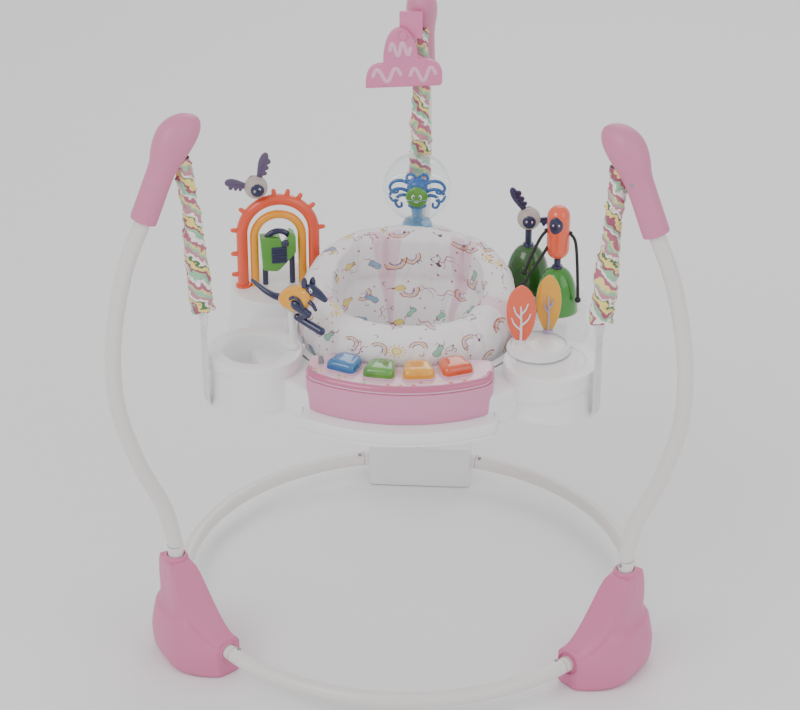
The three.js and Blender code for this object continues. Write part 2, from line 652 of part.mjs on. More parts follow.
// Short round nubs that ring the outer arch and its near leg.
function archNubs() {
  const { radius, tube, top } = ARCHES.outer;
  const turned = [4, 38, 59, 76, 94, 143, 173].map((angle) => {
    const nub = archNub().translate(0, 0, radius + tube).rotateY(rad(90 - angle));
    return nub.translate(0, 0, top - radius);
  });
  const spring = top - radius;
  const onLeg = [33, 70].map((drop) => {
    return archNub().rotateY(rad(-90)).translate(-radius - tube, 0, spring - drop);
  });
  return [...turned, ...onLeg];
}

// Pin on the outer arch that the winged ball turns on.
function ballPin() {
  const { radius, tube, top } = ARCHES.outer;
  const pin = cylinder(3, radius, radius + tube + 2 * BALL_RADIUS - 6, 10);
  return pin.rotateY(rad(90 - BALL_PERCH)).translate(0, 0, top - radius);
}

function outerArch() {
  return [...archNubs(), ballPin()].map(asSolid).reduce((whole, nub) => whole.add(nub), arch(ARCHES.outer));
}

// Clicker frame clamped round the inner arch: two leaves that meet in a low point, with a
// window for a ribbed roller in the left one.
function clickerFrame() {
  const { radius, tube, top } = ARCHES.inner;
  const side = radius + tube;
  const outline = new THREE.Shape();
  outline.moveTo(-side - 3, 14);
  outline.lineTo(2, 14);
  outline.lineTo(9, -6);
  outline.lineTo(side - 8, 22);
  outline.lineTo(side + 1, 16);
  outline.lineTo(side + 1, -14);
  outline.lineTo(-2, -46);
  outline.lineTo(-side, -42);
  outline.closePath();
  const body = plate(outline, 26, 2, 1).rotateX(Math.PI / 2).translate(0, 13, 0);
  const tunnel = sweep(disc(tube + 0.8, 10), archCurve(radius, top), ARCH_STEPS).translate(0, 0, radius - top);
  const place = rollerPlace();
  const window = block(2 * place.reach, 60, 2 * ROLLER_RADIUS + 3, place.x, 0, place.z);
  const axle = cylinder(2.6, -place.reach - 3.5, place.reach + 3.5, 10).rotateY(Math.PI / 2);
  axle.translate(place.x, 0, place.z);
  return asSolid(body).subtract(asSolid(tunnel)).subtract(asSolid(window)).subtract(asSolid(axle));
}

function rollerPlace() {
  return { x: 0, z: -16, reach: 11 };
}

// Ribbed roller: a toothed drum with a stub axle at each end.
function clickerRoller() {
  const { x, z, reach } = rollerPlace();
  const ribs = 12;
  const rim = Array.from({ length: 2 * ribs }, (_, i) => {
    const angle = (Math.PI * i) / ribs;
    return v2(i % 2 ? ROLLER_RADIUS - 1.8 : ROLLER_RADIUS, 0).rotateAround(v2(0, 0), angle);
  });
  const depth = 2 * reach - 2 * SWING_GAP;
  const drum = new THREE.ExtrudeGeometry(new THREE.Shape(rim), { depth, bevelEnabled: false });
  drum.translate(0, 0, -depth / 2).rotateY(Math.PI / 2);
  const axle = cylinder(2, -reach - 3, reach + 3, 10).rotateY(Math.PI / 2);
  return fuse(drum, axle).translate([x, 0, z]);
}

// A flat, scalloped wing that reaches along +X from the origin.
function wing(length, width) {
  const shape = new THREE.Shape();
  shape.moveTo(-5, -width * 0.28);
  shape.lineTo(length * 0.2, -width * 0.3);
  shape.quadraticCurveTo(length * 0.35, -width * 0.8, length * 0.5, -width * 0.45);
  shape.quadraticCurveTo(length * 0.65, -width * 0.9, length * 0.8, -width * 0.4);
  shape.quadraticCurveTo(length * 1.08, -width * 0.3, length, width * 0.15);
  shape.quadraticCurveTo(length * 0.75, width * 0.5, length * 0.4, width * 0.25);
  shape.lineTo(-5, width * 0.28);
  shape.closePath();
  const settings = { depth: 5, bevelEnabled: false, curveSegments: 3 };
  return new THREE.ExtrudeGeometry(shape, settings).rotateX(Math.PI / 2).translate(0, 2.5, 0);
}

// Ball with a bore along the local Z axis, which slides over a peg.
function boredBall(radius, bore) {
  const reach = Math.sqrt(radius * radius - bore * bore);
  const steps = 6;
  const start = Math.asin(bore / radius);
  const arc = Array.from({ length: steps + 1 }, (_, i) => {
    const angle = start + ((Math.PI - 2 * start) * i) / steps;
    return [radius * Math.sin(angle), radius * Math.cos(angle)];
  });
  return asSolid(revolve([...arc, [bore, reach]], 12));
}

// Winged ball in local axes: a peg bore up its middle, a round face in front, wings left and right.
function wingedBall(wings) {
  const ball = boredBall(BALL_RADIUS, 3.6);
  const face = asSolid(ellipsoid(11, 4.5, 11, 10, 5).translate(1, 2.5 - BALL_RADIUS, 0));
  const blades = wings.map(({ angle, length, width, flip }) => {
    const blade = wing(length, width).scale(1, 1, flip).translate(BALL_RADIUS - 1, 0, 0);
    return asSolid(blade.rotateY(rad(-angle)));
  });
  return blades.reduce((whole, blade) => whole.add(blade), ball.add(face));
}

// ---------------------------------------------------------------- globe toy

function globe() {
  const outer = GLOBE_RADIUS;
  const inner = GLOBE_RADIUS - GLOBE_WALL;
  const neck = 11;
  const steps = 7;
  const arc = (radius, from, to) => Array.from({ length: steps + 1 }, (_, i) => {
    const angle = from + ((to - from) * i) / steps;
    return [i === 0 && from === 0 ? 0 : radius * Math.sin(angle), radius * Math.cos(angle)];
  });
  const outerEnd = Math.PI - Math.asin(neck / outer);
  const innerEnd = Math.PI - Math.asin(neck / inner);
  const inside = arc(inner, 0, innerEnd).reverse();
  return asSolid(revolve([...arc(outer, 0, outerEnd), ...inside], 18).translate(0, 0, GLOBE_CENTRE));
}

// Stand: a low collar on the pod and a post that passes up through the globe's neck.
function globeStand() {
  const foot = PODS.globe.top + FIT;
  const neckZ = GLOBE_CENTRE - GLOBE_RADIUS;
  const reach = GLOBE_CENTRE - 34;
  return asSolid(revolve([
    [0, reach], [12, reach], [9, neckZ + 6], [9, neckZ - 3], [24, neckZ - 7], [34, foot + 8], [36, foot], [0, foot],
  ], 24));
}

// Octopus on the post: a domed body, a round face in front and six curling arms.
function octopus() {
  const seat = GLOBE_CENTRE - 34 + FIT;
  const skirt = revolve([[0, 26], [11, 26], [16, 0], [0, 0]], 14).translate(0, 0, seat);
  const body = ellipsoid(18, 15, 19, 12, 7).translate(0, 0, seat + 32);
  const face = ellipsoid(18, 7, 18, 12, 6).translate(0, -15, seat + 22);
  const arms = [1, -1].flatMap((side) => [6, -9].map((lift) => {
    const bend = [
      v3(10, 0, lift), v3(24, 1, lift + 6), v3(36, 1, lift + 4), v3(40, 0, lift - 6), v3(33, -1, lift - 13),
      v3(27, -1, lift - 9),
    ];
    const curve = new THREE.CatmullRomCurve3(bend.map((p) => v3(side * p.x, p.y, p.z)));
    return sweep(disc(2.6, 5), curve, 8).translate(0, 0, seat + 30);
  }));
  const ears = [1, -1].map((side) => {
    const loop = [v3(3, 0, 14), v3(8, 0, 22), v3(17, 0, 24), v3(16, 0, 16), v3(9, 0, 13)];
    const curve = new THREE.CatmullRomCurve3(loop.map((p) => v3(side * p.x, p.y, p.z)));
    return sweep(disc(2.6, 5), curve, 6).translate(0, 0, seat + 32);
  });
  return fuse(skirt, body, face, ...arms, ...ears);
}

// ---------------------------------------------------------------- hills, bean and winged head

// A rounded hill with the stalk of the figure on it: a thick part and a thinner peg on top.
function hill({ radius, depth, height }, stalk, pegLength) {
  const profile = [[0, 1], [0.4, 0.95], [0.72, 0.76], [0.92, 0.45], [1, 0], [0, 0]];
  const mound = revolve(profile.map(([r, z]) => [r * radius, z * height]), 16).scale(1, depth / radius, 1);
  const post = cylinder(STALK_RADIUS, height - 12, height + stalk, 12);
  const pin = cylinder(3, height - 10, height + stalk + pegLength, 10);
  return fuse(mound, post, pin);
}

function hillPlace({ x, y }) {
  return [x, y, PODS.hills.top + FIT];
}

// Bean figure: a long pill with a round face, two arms and a leg of bent rod, and a peg bore below.
function bean() {
  const { radius, length } = BEAN;
  const straight = length - 2 * radius;
  const pill = new THREE.CapsuleGeometry(radius, straight, 3, 12).rotateX(Math.PI / 2).translate(0, 0, length / 2);
  const face = ellipsoid(11, 4, 15, 10, 8).translate(-4, 1.5 - radius, length * 0.68);
  const hole = cylinder(3.6, -5, 26, 10);
  return carve(fuse(pill, face), hole);
}

// A bent limb with a knob on its end, as seen from the bean's own foot.
function limb(points, knob = 5) {
  const curve = new THREE.CatmullRomCurve3(points.map(([x, y, z]) => v3(x, y, z)));
  const end = ellipsoid(knob, knob, knob, 8, 6).translate(...points[points.length - 1]);
  return fuse(sweep(disc(2.4, 7), curve, 9), end);
}

function beanLimbs() {
  const { radius, length } = BEAN;
  const gap = radius + 2.9;
  return {
    arm_right: limb([[gap, 0, length * 0.5], [gap + 6, -9, 34], [gap + 10, -19, 0], [gap + 13, -23, -62]]),
    arm_left: limb([[-gap + 1, -4, length * 0.55], [-gap - 9, -12, 36], [-gap - 31, -27, -13]]),
    leg_left: limb([[-gap + 1, -7, length * 0.24], [-gap - 8, -18, 4], [-gap - 34, -34, -34]]),
  };
}

// ---------------------------------------------------------------- spinner

// Domed turntable on a hub that drops into the pod's socket.
function spinnerDome() {
  const size = SPINNER.radius;
  return asSolid(revolve([
    [0, 12], [0.3 * size, 11.6], [0.58 * size, 9.5], [0.82 * size, 5.5], [size, 0.5], [size, -3], [5, -3],
    [5, -9], [0, -9],
  ], 24));
}

// A leaf paddle with a branching stem on its face, standing on the turntable.
function leaf(halfWidth, height, turn) {
  const shape = new THREE.Shape();
  shape.moveTo(0, -6);
  shape.bezierCurveTo(-halfWidth * 1.2, height * 0.2, -halfWidth * 1.4, height * 0.9, 0, height);
  shape.bezierCurveTo(halfWidth * 1.4, height * 0.9, halfWidth * 1.2, height * 0.2, 0, -6);
  const settings = { depth: 5, bevelEnabled: false, curveSegments: 7 };
  const blade = new THREE.ExtrudeGeometry(shape, settings).rotateX(Math.PI / 2).translate(0, 2.5, 0);
  const foot = cylinder(8, -8, 3, 10);
  return fuse(blade, foot, ...stem(halfWidth, height)).rotate([0, 0, turn]);
}

function stem(halfWidth, height) {
  const rod = (from, to, size) => sweep(disc(size, 6), new THREE.LineCurve3(v3(...from), v3(...to)), 1);
  const y = -3.5;
  const reach = 0.55 * halfWidth;
  return [
    rod([0, y, -6], [0, y, height * 0.8], 3),
    rod([0, y, height * 0.3], [-reach, y, height * 0.4], 2.4),
    rod([0, y, height * 0.42], [reach, y, height * 0.66], 2.4),
  ];
}

// ---------------------------------------------------------------- kangaroo

// Hopping animal in local X-Z, nose to +X: a thick body, a flatter head, a bent leg and a tail.
function kangaroo() {
  const flat = (shape, thickness, bevel) => {
    const settings = { depth: thickness - 2 * bevel, bevelThickness: bevel, bevelSize: bevel };
    Object.assign(settings, { bevelOffset: -bevel, bevelSegments: 1, curveSegments: 4 });
    return new THREE.ExtrudeGeometry(shape, settings).rotateX(Math.PI / 2).translate(0, thickness / 2 - bevel, 0);
  };
  const body = new THREE.Shape();
  body.moveTo(-30, -4);
  body.bezierCurveTo(-26, 14, -4, 20, 14, 20);
  body.bezierCurveTo(26, 20, 26, 6, 22, -2);
  body.bezierCurveTo(18, -14, 4, -22, -8, -20);
  body.bezierCurveTo(-22, -19, -30, -14, -30, -4);
  const head = new THREE.Shape();
  head.moveTo(12, 12);
  head.lineTo(12, 34);
  head.lineTo(19, 29);
  head.lineTo(27, 36);
  head.lineTo(30, 24);
  head.lineTo(46, 10);
  head.lineTo(44, 4);
  head.lineTo(18, 3);
  head.closePath();
  const leg = new THREE.Shape();
  leg.moveTo(8, -4);
  leg.lineTo(24, -10);
  leg.lineTo(20, -24);
  leg.lineTo(44, -36);
  leg.lineTo(38, -46);
  leg.lineTo(0, -28);
  leg.lineTo(-2, -18);
  leg.closePath();
  const tail = new THREE.CatmullRomCurve3([v3(-22, 0, -4), v3(-44, 0, -6), v3(-62, 0, 0), v3(-76, 0, 8)]);
  const bore = cylinder(3.6, -60, 4, 10).translate(-12, 0, 0);
  const whole = fuse(flat(body, 24, 4), flat(head, 15, 3), flat(leg, 14, 2), sweep(disc(5, 7), tail, 5));
  return carve(whole.scale(KANGAROO.size), bore);
}

// Stalk that the kangaroo stands on: a foot on the deck, a stem and a thinner pin.
function kangarooStalk() {
  const foot = PODS.cup.top + FIT;
  const collar = KANGAROO.z - 22 * KANGAROO.size - SWING_GAP;
  return asSolid(revolve([
    [0, collar + 20], [3, collar + 20], [3, collar], [6, collar], [6, foot + 8], [10, foot + 5], [10, foot], [0, foot],
  ], 12));
}

// ---------------------------------------------------------------- assembly

function place(mesh, x, y, z, turn = 0) {
  mesh.position.set(x, y, z);
  mesh.rotation.z = rad(turn);
  return mesh;
}

function addFrame() {
  const sides = Object.entries(SIDE_AZIMUTHS);
  for (const [side, azimuth] of sides) {
    const foot = side === "rear" ? rearFoot() : sideFoot();
    place(addMesh(`foot_${side}`, foot, side === "rear" ? WHITE : PINK), 0, 0, 0, azimuth);
    place(addMesh(`upright_${side}`, upright(), WHITE, 0.3), 0, 0, 0, azimuth);
    place(addMesh(`cap_${side}`, cap(), PINK), 0, 0, 0, azimuth);
    place(addMesh(`spring_${side}`, strapTube(disc(SPRING_RADIUS, 10)), 0x9a9a9a, 0.4, 0.8), 0, 0, 0, azimuth);
    const tube = disc(SLEEVE_RADIUS, 12, SPRING_RADIUS + 1.5, 10);
    place(addMesh(`sleeve_${side}`, strapTube(tube), 0xd0a0a8, 0.9), 0, 0, 0, azimuth);
    place(addMesh(`hanger_${side}`, hanger(), WHITE), 0, 0, 0, azimuth);
  }
  const arcs = { front: [210, 330], right: [330, 450], left: [90, 210] };
  for (const [name, [start, end]] of Object.entries(arcs)) {
    addMesh(`ring_tube_${name}`, ringTube(start + SOCKET_ANGLE, end - SOCKET_ANGLE), WHITE, 0.3);
  }
}

function addCloud() {
  addMesh("cloud_panel", cloud(), 0xe3a0bb);
  addMesh("cloud_bracket", cloudBracket(), WHITE);
}

function addTray() {
  addMesh("tray_shell", trayShell(), WHITE);
  addMesh("tray_base", trayBase(), WHITE);
  addMesh("piano_case", pianoCase(), 0xe0b6c4);
  addMesh("piano_deck", pianoDeck(), 0xe6b3c6);
  addMesh("piano_bead", pianoBead(), 0xcc7192, 0.2);
  addMesh("volume_switch", volumeSwitch(), 0x8c8c8c);
  Object.entries(KEY_COLOURS).forEach(([name, colour], i) => {
    place(addMesh(`key_${name}`, pianoKey(), colour, 0.15), 0, 0, 0, (i - 1.5) * KEY_PITCH);
  });
}

function addSeat() {
  addMesh("seat_ring", seatRing(), WHITE);
  addMesh("seat_fabric", seatFabric(), 0xf6eef0, 0.9);
}

function addRainbow() {
  const { x, y } = PODS.rainbow;
  const stand = (name, solid, colour) => place(addMesh(name, solid, colour, 0.2), x, y, 0, ARCH_AZIMUTH);
  stand("arch_outer", outerArch(), ARCHES.outer.colour);
  stand("arch_middle", arch(ARCHES.middle), ARCHES.middle.colour);
  stand("arch_inner", arch(ARCHES.inner), ARCHES.inner.colour);
  const spring = ARCHES.inner.top - ARCHES.inner.radius;
  stand("clicker_frame", clickerFrame().translate([0, 0, spring]), 0x5fa53c);
  stand("clicker_roller", clickerRoller().translate([0, 0, spring]), NAVY);
  const wings = [
    { angle: 146, length: 32, width: 17, flip: -1 },
    { angle: 50, length: 42, width: 17, flip: 1 },
  ];
  const ball = wingedBall(wings).translate([0, 0, BALL_RADIUS + SWING_GAP]);
  const outer = ARCHES.outer;
  const seat = outer.radius + outer.tube + SWING_GAP;
  const tilt = 90 - BALL_PERCH;
  const onArch = ball.translate([0, 0, seat]).rotate([0, tilt, 0]).translate([0, 0, outer.top - outer.radius]);
  stand("arch_bird", onArch, 0xbeafaa);
}

function addHills() {
  const head = HILLS.back;
  const wings = [
    { angle: 118, length: 42, width: 16, flip: 1 },
    { angle: -6, length: 36, width: 16, flip: 1 },
  ];
  const { front, back } = HILLS;
  addMesh("hill_back", hill(back, HEAD_GAP, 20), back.colour, 0.15).position.set(...hillPlace(back));
  addMesh("hill_front", hill(front, BEAN.gap, 20), front.colour, 0.15).position.set(...hillPlace(front));
  const headZ = PODS.hills.top + FIT + head.height + HEAD_GAP + BALL_RADIUS + FIT;
  addMesh("hill_bird", wingedBall(wings), 0xbeafaa, 0.3).position.set(head.x, head.y, headZ);
  const beanZ = PODS.hills.top + 2 * FIT + front.height + BEAN.gap;
  addMesh("bean", bean(), 0xf06441, 0.2).position.set(front.x, front.y, beanZ);
  for (const [name, solid] of Object.entries(beanLimbs())) {
    addMesh(`bean_${name}`, solid, 0x151515, 0.4).position.set(front.x, front.y, beanZ);
  }
}

function addGlobe() {
  const { x, y } = PODS.globe;
  addMesh("globe_stand", globeStand(), 0x6fa8d8).position.set(x, y, 0);
  addMesh("globe", globe(), 0xeef4f8, 0.05).position.set(x, y, 0);
  addMesh("octopus", octopus(), 0x2f6fb5, 0.25).position.set(x, y, 0);
}

function addSpinner() {
  const { x, y } = SPINNER;
  const base = PODS.spinner.top + 3 + SWING_GAP;
  const dome = spinnerDome();
  const onDome = (solid, dx, dy) => solid.translate([dx, dy, 12]).subtract(dome.translate([0, 0, FIT]));
  addMesh("spinner_dome", dome, WHITE).position.set(x, y, base);
  addMesh("leaf_orange", onDome(leaf(25, 98, 0), -28, -6), 0xf06941, 0.25).position.set(x, y, base);
  addMesh("leaf_yellow", onDome(leaf(21, 98, 0), 14, 33), 0xebaa28, 0.25).position.set(x, y, base);
}

function addKangaroo() {
  const { x, y, z, turn } = KANGAROO;
  place(addMesh("kangaroo", kangaroo(), 0xf0a830, 0.25), x, y, z, turn);
  const foot = v2(-12, 0).rotateAround(v2(0, 0), rad(turn));
  addMesh("kangaroo_stalk", kangarooStalk(), NAVY).position.set(x + foot.x, y + foot.y, 0);
}

addFrame();
addCloud();
addTray();
addSeat();
addRainbow();
addHills();
addGlobe();
addSpinner();
addKangaroo();

// The origin lies on the floor, under the middle of the whole object.
const box = new THREE.Box3().setFromObject(group, true);
const middle = box.getCenter(v3(0, 0, 0));
group.children.forEach((mesh) => mesh.position.sub(v3(middle.x, middle.y, box.min.z)));

export default group;
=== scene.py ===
"""Visual model of a free-standing baby jumper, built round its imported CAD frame."""

import math

import bmesh
import bpy
import numpy as np
from mathutils import Matrix, Vector, noise


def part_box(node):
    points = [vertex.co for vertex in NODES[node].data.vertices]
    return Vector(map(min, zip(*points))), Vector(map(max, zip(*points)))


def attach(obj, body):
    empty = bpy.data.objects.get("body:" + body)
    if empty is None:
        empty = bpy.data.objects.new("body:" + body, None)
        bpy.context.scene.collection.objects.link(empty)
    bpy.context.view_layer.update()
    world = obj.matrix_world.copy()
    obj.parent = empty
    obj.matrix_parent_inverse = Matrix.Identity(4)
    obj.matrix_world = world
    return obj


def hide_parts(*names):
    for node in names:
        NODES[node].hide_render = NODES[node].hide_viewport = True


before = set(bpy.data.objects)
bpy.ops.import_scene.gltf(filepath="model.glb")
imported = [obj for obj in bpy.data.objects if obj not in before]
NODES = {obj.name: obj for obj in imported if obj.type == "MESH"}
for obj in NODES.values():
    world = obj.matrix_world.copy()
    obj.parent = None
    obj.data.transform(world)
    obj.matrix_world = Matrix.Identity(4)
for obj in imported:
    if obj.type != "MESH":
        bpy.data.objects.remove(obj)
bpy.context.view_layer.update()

# The seat's swivel axis is the axis of the whole frame: every length below is in mm from it.
ring_low, ring_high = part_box("seat_ring")
AXIS_Y = (ring_low[1] + ring_high[1]) / 2


def rad(degrees):
    return math.radians(degrees)


def rgb(r, g, b):
    """An sRGB colour in 0 to 255 as a linear colour."""
    channels = [c / 255 for c in (r, g, b)]
    return tuple(c / 12.92 if c <= 0.04045 else ((c + 0.055) / 1.055) ** 2.4 for c in channels)


def middle(node):
    """Middle of a CAD node's box, in mm about the seat's axis."""
    low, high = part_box(node)
    return Vector(((low[0] + high[0]) * 500, ((low[1] + high[1]) / 2 - AXIS_Y) * 1000,
                   (low[2] + high[2]) * 500))


# ---------------------------------------------------------------- camera, floor and light

TARGET = Vector((0, AXIS_Y, 0.4518))
AZIMUTH, ELEVATION, DISTANCE = rad(3.54), rad(28.0), 4.0

camera = bpy.data.objects.new("camera", bpy.data.cameras.new("camera"))
camera.data.sensor_width = 36
camera.data.lens = 112.0
camera.data.shift_x = -0.0095
back = Vector((
    math.sin(AZIMUTH) * math.cos(ELEVATION), -math.cos(AZIMUTH) * math.cos(ELEVATION), math.sin(ELEVATION),
))
camera.location = TARGET + DISTANCE * back
camera.rotation_euler = back.to_track_quat("Z", "Y").to_euler()
bpy.context.scene.collection.objects.link(camera)
bpy.context.scene.camera = camera


def area_light(name, place, size, power):
    light = bpy.data.lights.new(name, "AREA")
    light.size = size
    light.energy = power
    lamp = bpy.data.objects.new(name, light)
    lamp.location = place
    lamp.rotation_euler = (Vector(place) - TARGET).to_track_quat("Z", "Y").to_euler()
    bpy.context.scene.collection.objects.link(lamp)


area_light("key_light", (-2.2, -2.6, 3.4), 2.4, 58)
area_light("fill_light", (2.8, -2.0, 2.2), 2.6, 22)
area_light("rim_light", (0.6, 3.0, 3.0), 2.4, 32)

world = bpy.data.worlds.new("studio")
world.use_nodes = True
world.node_tree.nodes["Background"].inputs["Color"].default_value = (1, 1, 1, 1)
world.node_tree.nodes["Background"].inputs["Strength"].default_value = 0.86
bpy.context.scene.world = world

# ---------------------------------------------------------------- shader building


class Value:
    """A number or colour socket in a shader that takes arithmetic."""

    def __init__(self, nodes, socket):
        self.nodes = nodes
        self.socket = socket

    def _do(self, kind, *others):
        return self.nodes.math(kind, self, *others)

    def __add__(self, other):
        return self._do("ADD", other)

    def __sub__(self, other):
        return self._do("SUBTRACT", other)

    def __rsub__(self, other):
        return self.nodes.math("SUBTRACT", other, self)

    def __mul__(self, other):
        return self._do("MULTIPLY", other)

    def __truediv__(self, other):
        return self._do("DIVIDE", other)

    def __lt__(self, other):
        return self._do("LESS_THAN", other)

    def __gt__(self, other):
        return self._do("GREATER_THAN", other)

    def do(self, kind, *others):
        return self._do(kind, *others)


class Nodes:
    """A material's node tree, with short calls for what the finishes need."""

    def __init__(self, name):
        self.material = bpy.data.materials.new(name)
        self.material.use_nodes = True
        self.tree = self.material.node_tree
        self.shader = self.tree.nodes["Principled BSDF"]
        self.coordinates = None

    def set(self, socket, value):
        if isinstance(value, Value):
            self.tree.links.new(value.socket, socket)
        elif value is not None:
            length = len(socket.default_value) if hasattr(socket.default_value, "__len__") else 0
            socket.default_value = (*value, 1.0) if length == 4 and len(value) == 3 else value

    def add(self, kind, **settings):
        node = self.tree.nodes.new(kind)
        for key, value in settings.items():
            setattr(node, key, value)
        return node

    def math(self, kind, *values):
        node = self.add("ShaderNodeMath", operation=kind)
        for socket, value in zip(node.inputs, values):
            self.set(socket, value)
        return Value(self, node.outputs[0])

    def place(self):
        """The point on the object, in metres, in the frame's axes."""
        if self.coordinates is None:
            self.coordinates = Value(self, self.add("ShaderNodeTexCoord").outputs["Object"])
        return self.coordinates

    def split(self, vector):
        node = self.add("ShaderNodeSeparateXYZ")
        self.set(node.inputs[0], vector)
        return [Value(self, socket) for socket in node.outputs]

    def join(self, x, y, z=0.0):
        node = self.add("ShaderNodeCombineXYZ")
        for socket, value in zip(node.inputs, (x, y, z)):
            self.set(socket, value)
        return Value(self, node.outputs[0])

    def noise(self, scale, detail=2.0, where=None, output=0):
        node = self.add("ShaderNodeTexNoise")
        self.set(node.inputs["Vector"], where or self.place())
        node.inputs["Scale"].default_value = scale
        node.inputs["Detail"].default_value = detail
        return Value(self, node.outputs[output])

    def random(self, where):
        node = self.add("ShaderNodeTexWhiteNoise", noise_dimensions="3D")
        self.set(node.inputs["Vector"], where)
        return Value(self, node.outputs["Value"])

    def mix(self, amount, first, second):
        node = self.add("ShaderNodeMix", data_type="RGBA")
        self.set(node.inputs[0], amount)
        self.set(node.inputs[6], first)
        self.set(node.inputs[7], second)
        return Value(self, node.outputs[2])

    def bands(self, value, colours):
        """A stepped ramp of (start, colour)."""
        node = self.add("ShaderNodeValToRGB")
        node.color_ramp.interpolation = "CONSTANT"
        self.set(node.inputs[0], value)
        while len(node.color_ramp.elements) < len(colours):
            node.color_ramp.elements.new(1.0)
        for element, (start, colour) in zip(node.color_ramp.elements, colours):
            element.position = start
            element.color = (*colour, 1)
        return Value(self, node.outputs[0])

    def bump(self, height, strength, distance=0.0005):
        node = self.add("ShaderNodeBump")
        node.inputs["Strength"].default_value = strength
        node.inputs["Distance"].default_value = distance
        self.set(node.inputs["Height"], height)
        self.tree.links.new(node.outputs[0], self.shader.inputs["Normal"])

    def finish(self, colour, roughness, **constants):
        self.set(self.shader.inputs["Base Color"], colour)
        self.set(self.shader.inputs["Roughness"], roughness)
        for name, value in constants.items():
            self.set(self.shader.inputs[name.replace("_", " ")], value)
        return self.material


def plastic(name, colour, roughness=0.3, grain=0.12, grain_scale=900, shade=0.93, **constants):
    """Moulded plastic: faint clouding of the colour, uneven gloss and a fine moulded grain."""
    n = Nodes(name)
    cloud = n.noise(9, 3)
    darker = tuple(c * shade for c in colour)
    gloss = n.noise(30, 4) * 0.1 + (roughness - 0.05)
    n.bump(n.noise(grain_scale, 2) + n.noise(60, 1) * 1.5, grain)
    return n.finish(n.mix(cloud, darker, colour), gloss, **constants)


GLOSS = {"roughness": 0.16, "grain": 0.05, "Coat_Weight": 0.6, "Coat_Roughness": 0.06}
SATIN = {"roughness": 0.42, "grain": 0.22}

finishes = {
    "tube": plastic("tube_enamel", rgb(236, 231, 228), 0.34, 0.16, 500, Coat_Weight=0.3),
    "foot": plastic("foot_pink", rgb(218, 122, 164), **SATIN),
    "cap": plastic("cap_pink", rgb(218, 132, 168), **SATIN),
    "white": plastic("housing_white", rgb(240, 240, 240), **SATIN),
    "tray": plastic("tray_white", rgb(247, 246, 247), 0.3, 0.1, Coat_Weight=0.25),
    "base": plastic("base_white", rgb(240, 239, 239), **SATIN),
    "piano": plastic("piano_pink", rgb(226, 148, 184), 0.34, 0.14),
    "bead": plastic("piano_trim", rgb(206, 108, 148), **GLOSS),
    "grey": plastic("switch_grey", rgb(150, 150, 152), **SATIN),
    "cloud": plastic("cloud_pink", rgb(232, 136, 180), 0.28, 0.08),
    "squiggle": plastic("cloud_squiggle", rgb(246, 190, 214), 0.35, 0.08),
    "red": plastic("arch_red", rgb(236, 84, 48), **GLOSS),
    "orange": plastic("arch_orange", rgb(246, 164, 26), **GLOSS),
    "navy": plastic("navy", rgb(30, 36, 78), **GLOSS),
    "green": plastic("clicker_green", rgb(88, 160, 58), **GLOSS),
    "ball": plastic("ball_grey", rgb(190, 176, 170), 0.3, 0.08),
    "wing": plastic("wing_purple", rgb(98, 84, 114), 0.34, 0.1),
    "hill": plastic("hill_green", rgb(58, 140, 44), **GLOSS),
    "hill_dark": plastic("hill_dark_green", rgb(52, 96, 42), **GLOSS),
    "bean": plastic("bean_orange", rgb(242, 98, 62), **GLOSS),
    "rubber": plastic("limb_black", rgb(24, 24, 28), 0.5, 0.3),
    "sky": plastic("stand_blue", rgb(120, 178, 222), **GLOSS),
    "blue": plastic("octopus_blue", rgb(38, 108, 184), **GLOSS),
    "lime": plastic("face_green", rgb(92, 164, 44), **GLOSS),
    "leaf_orange": plastic("leaf_orange", rgb(242, 100, 62), **GLOSS),
    "leaf_yellow": plastic("leaf_yellow", rgb(236, 172, 38), **GLOSS),
    "coral": plastic("coral_white", rgb(240, 236, 242), 0.4, 0.1),
    "lilac": plastic("trunk_lilac", rgb(186, 178, 204), 0.35, 0.1),
    "amber": plastic("kangaroo_orange", rgb(242, 170, 46), **GLOSS),
    "ink": plastic("face_white", rgb(244, 244, 244), 0.35, 0.05),
    "steel": plastic("spring_steel", rgb(170, 170, 172), 0.32, 0.1, Metallic=0.9),
    "web": None,
}


def key_finish(name, colour, painted_glow):
    """A lens-like key: clear-coated, its colour clouded by noise towards a lighter painted glow that stands in for
    light passing through.
    """
    n = Nodes(name)
    cloud = n.noise(40, 2)
    n.bump(n.noise(50, 1), 0.04)
    return n.finish(n.mix(cloud, colour, painted_glow), 0.1, Coat_Weight=1.0, Coat_Roughness=0.03,
                    Subsurface_Weight=0.15)


def webbing():
    """Narrow woven tape: herringbone rows across it."""
    n = Nodes("webbing")
    x, y, z = n.split(n.place())
    rows = (z * 5200).do("SINE") * 0.5 + ((x + y) * 4000).do("SINE") * 0.5
    n.bump(rows, 0.5, 0.0004)
    return n.finish(n.mix(n.noise(60, 3), rgb(226, 224, 222), rgb(244, 243, 241)), 0.85, Sheen_Weight=0.3)


finishes["web"] = webbing()


def glass():
    n = Nodes("globe_clear")
    gloss = n.noise(25, 2) * 0.02 + 0.01
    n.bump(n.noise(12, 1), 0.02)
    return n.finish((0.97, 0.985, 0.99), gloss, Transmission_Weight=1.0, IOR=1.2, Alpha=1.0)


finishes["glass"] = glass()


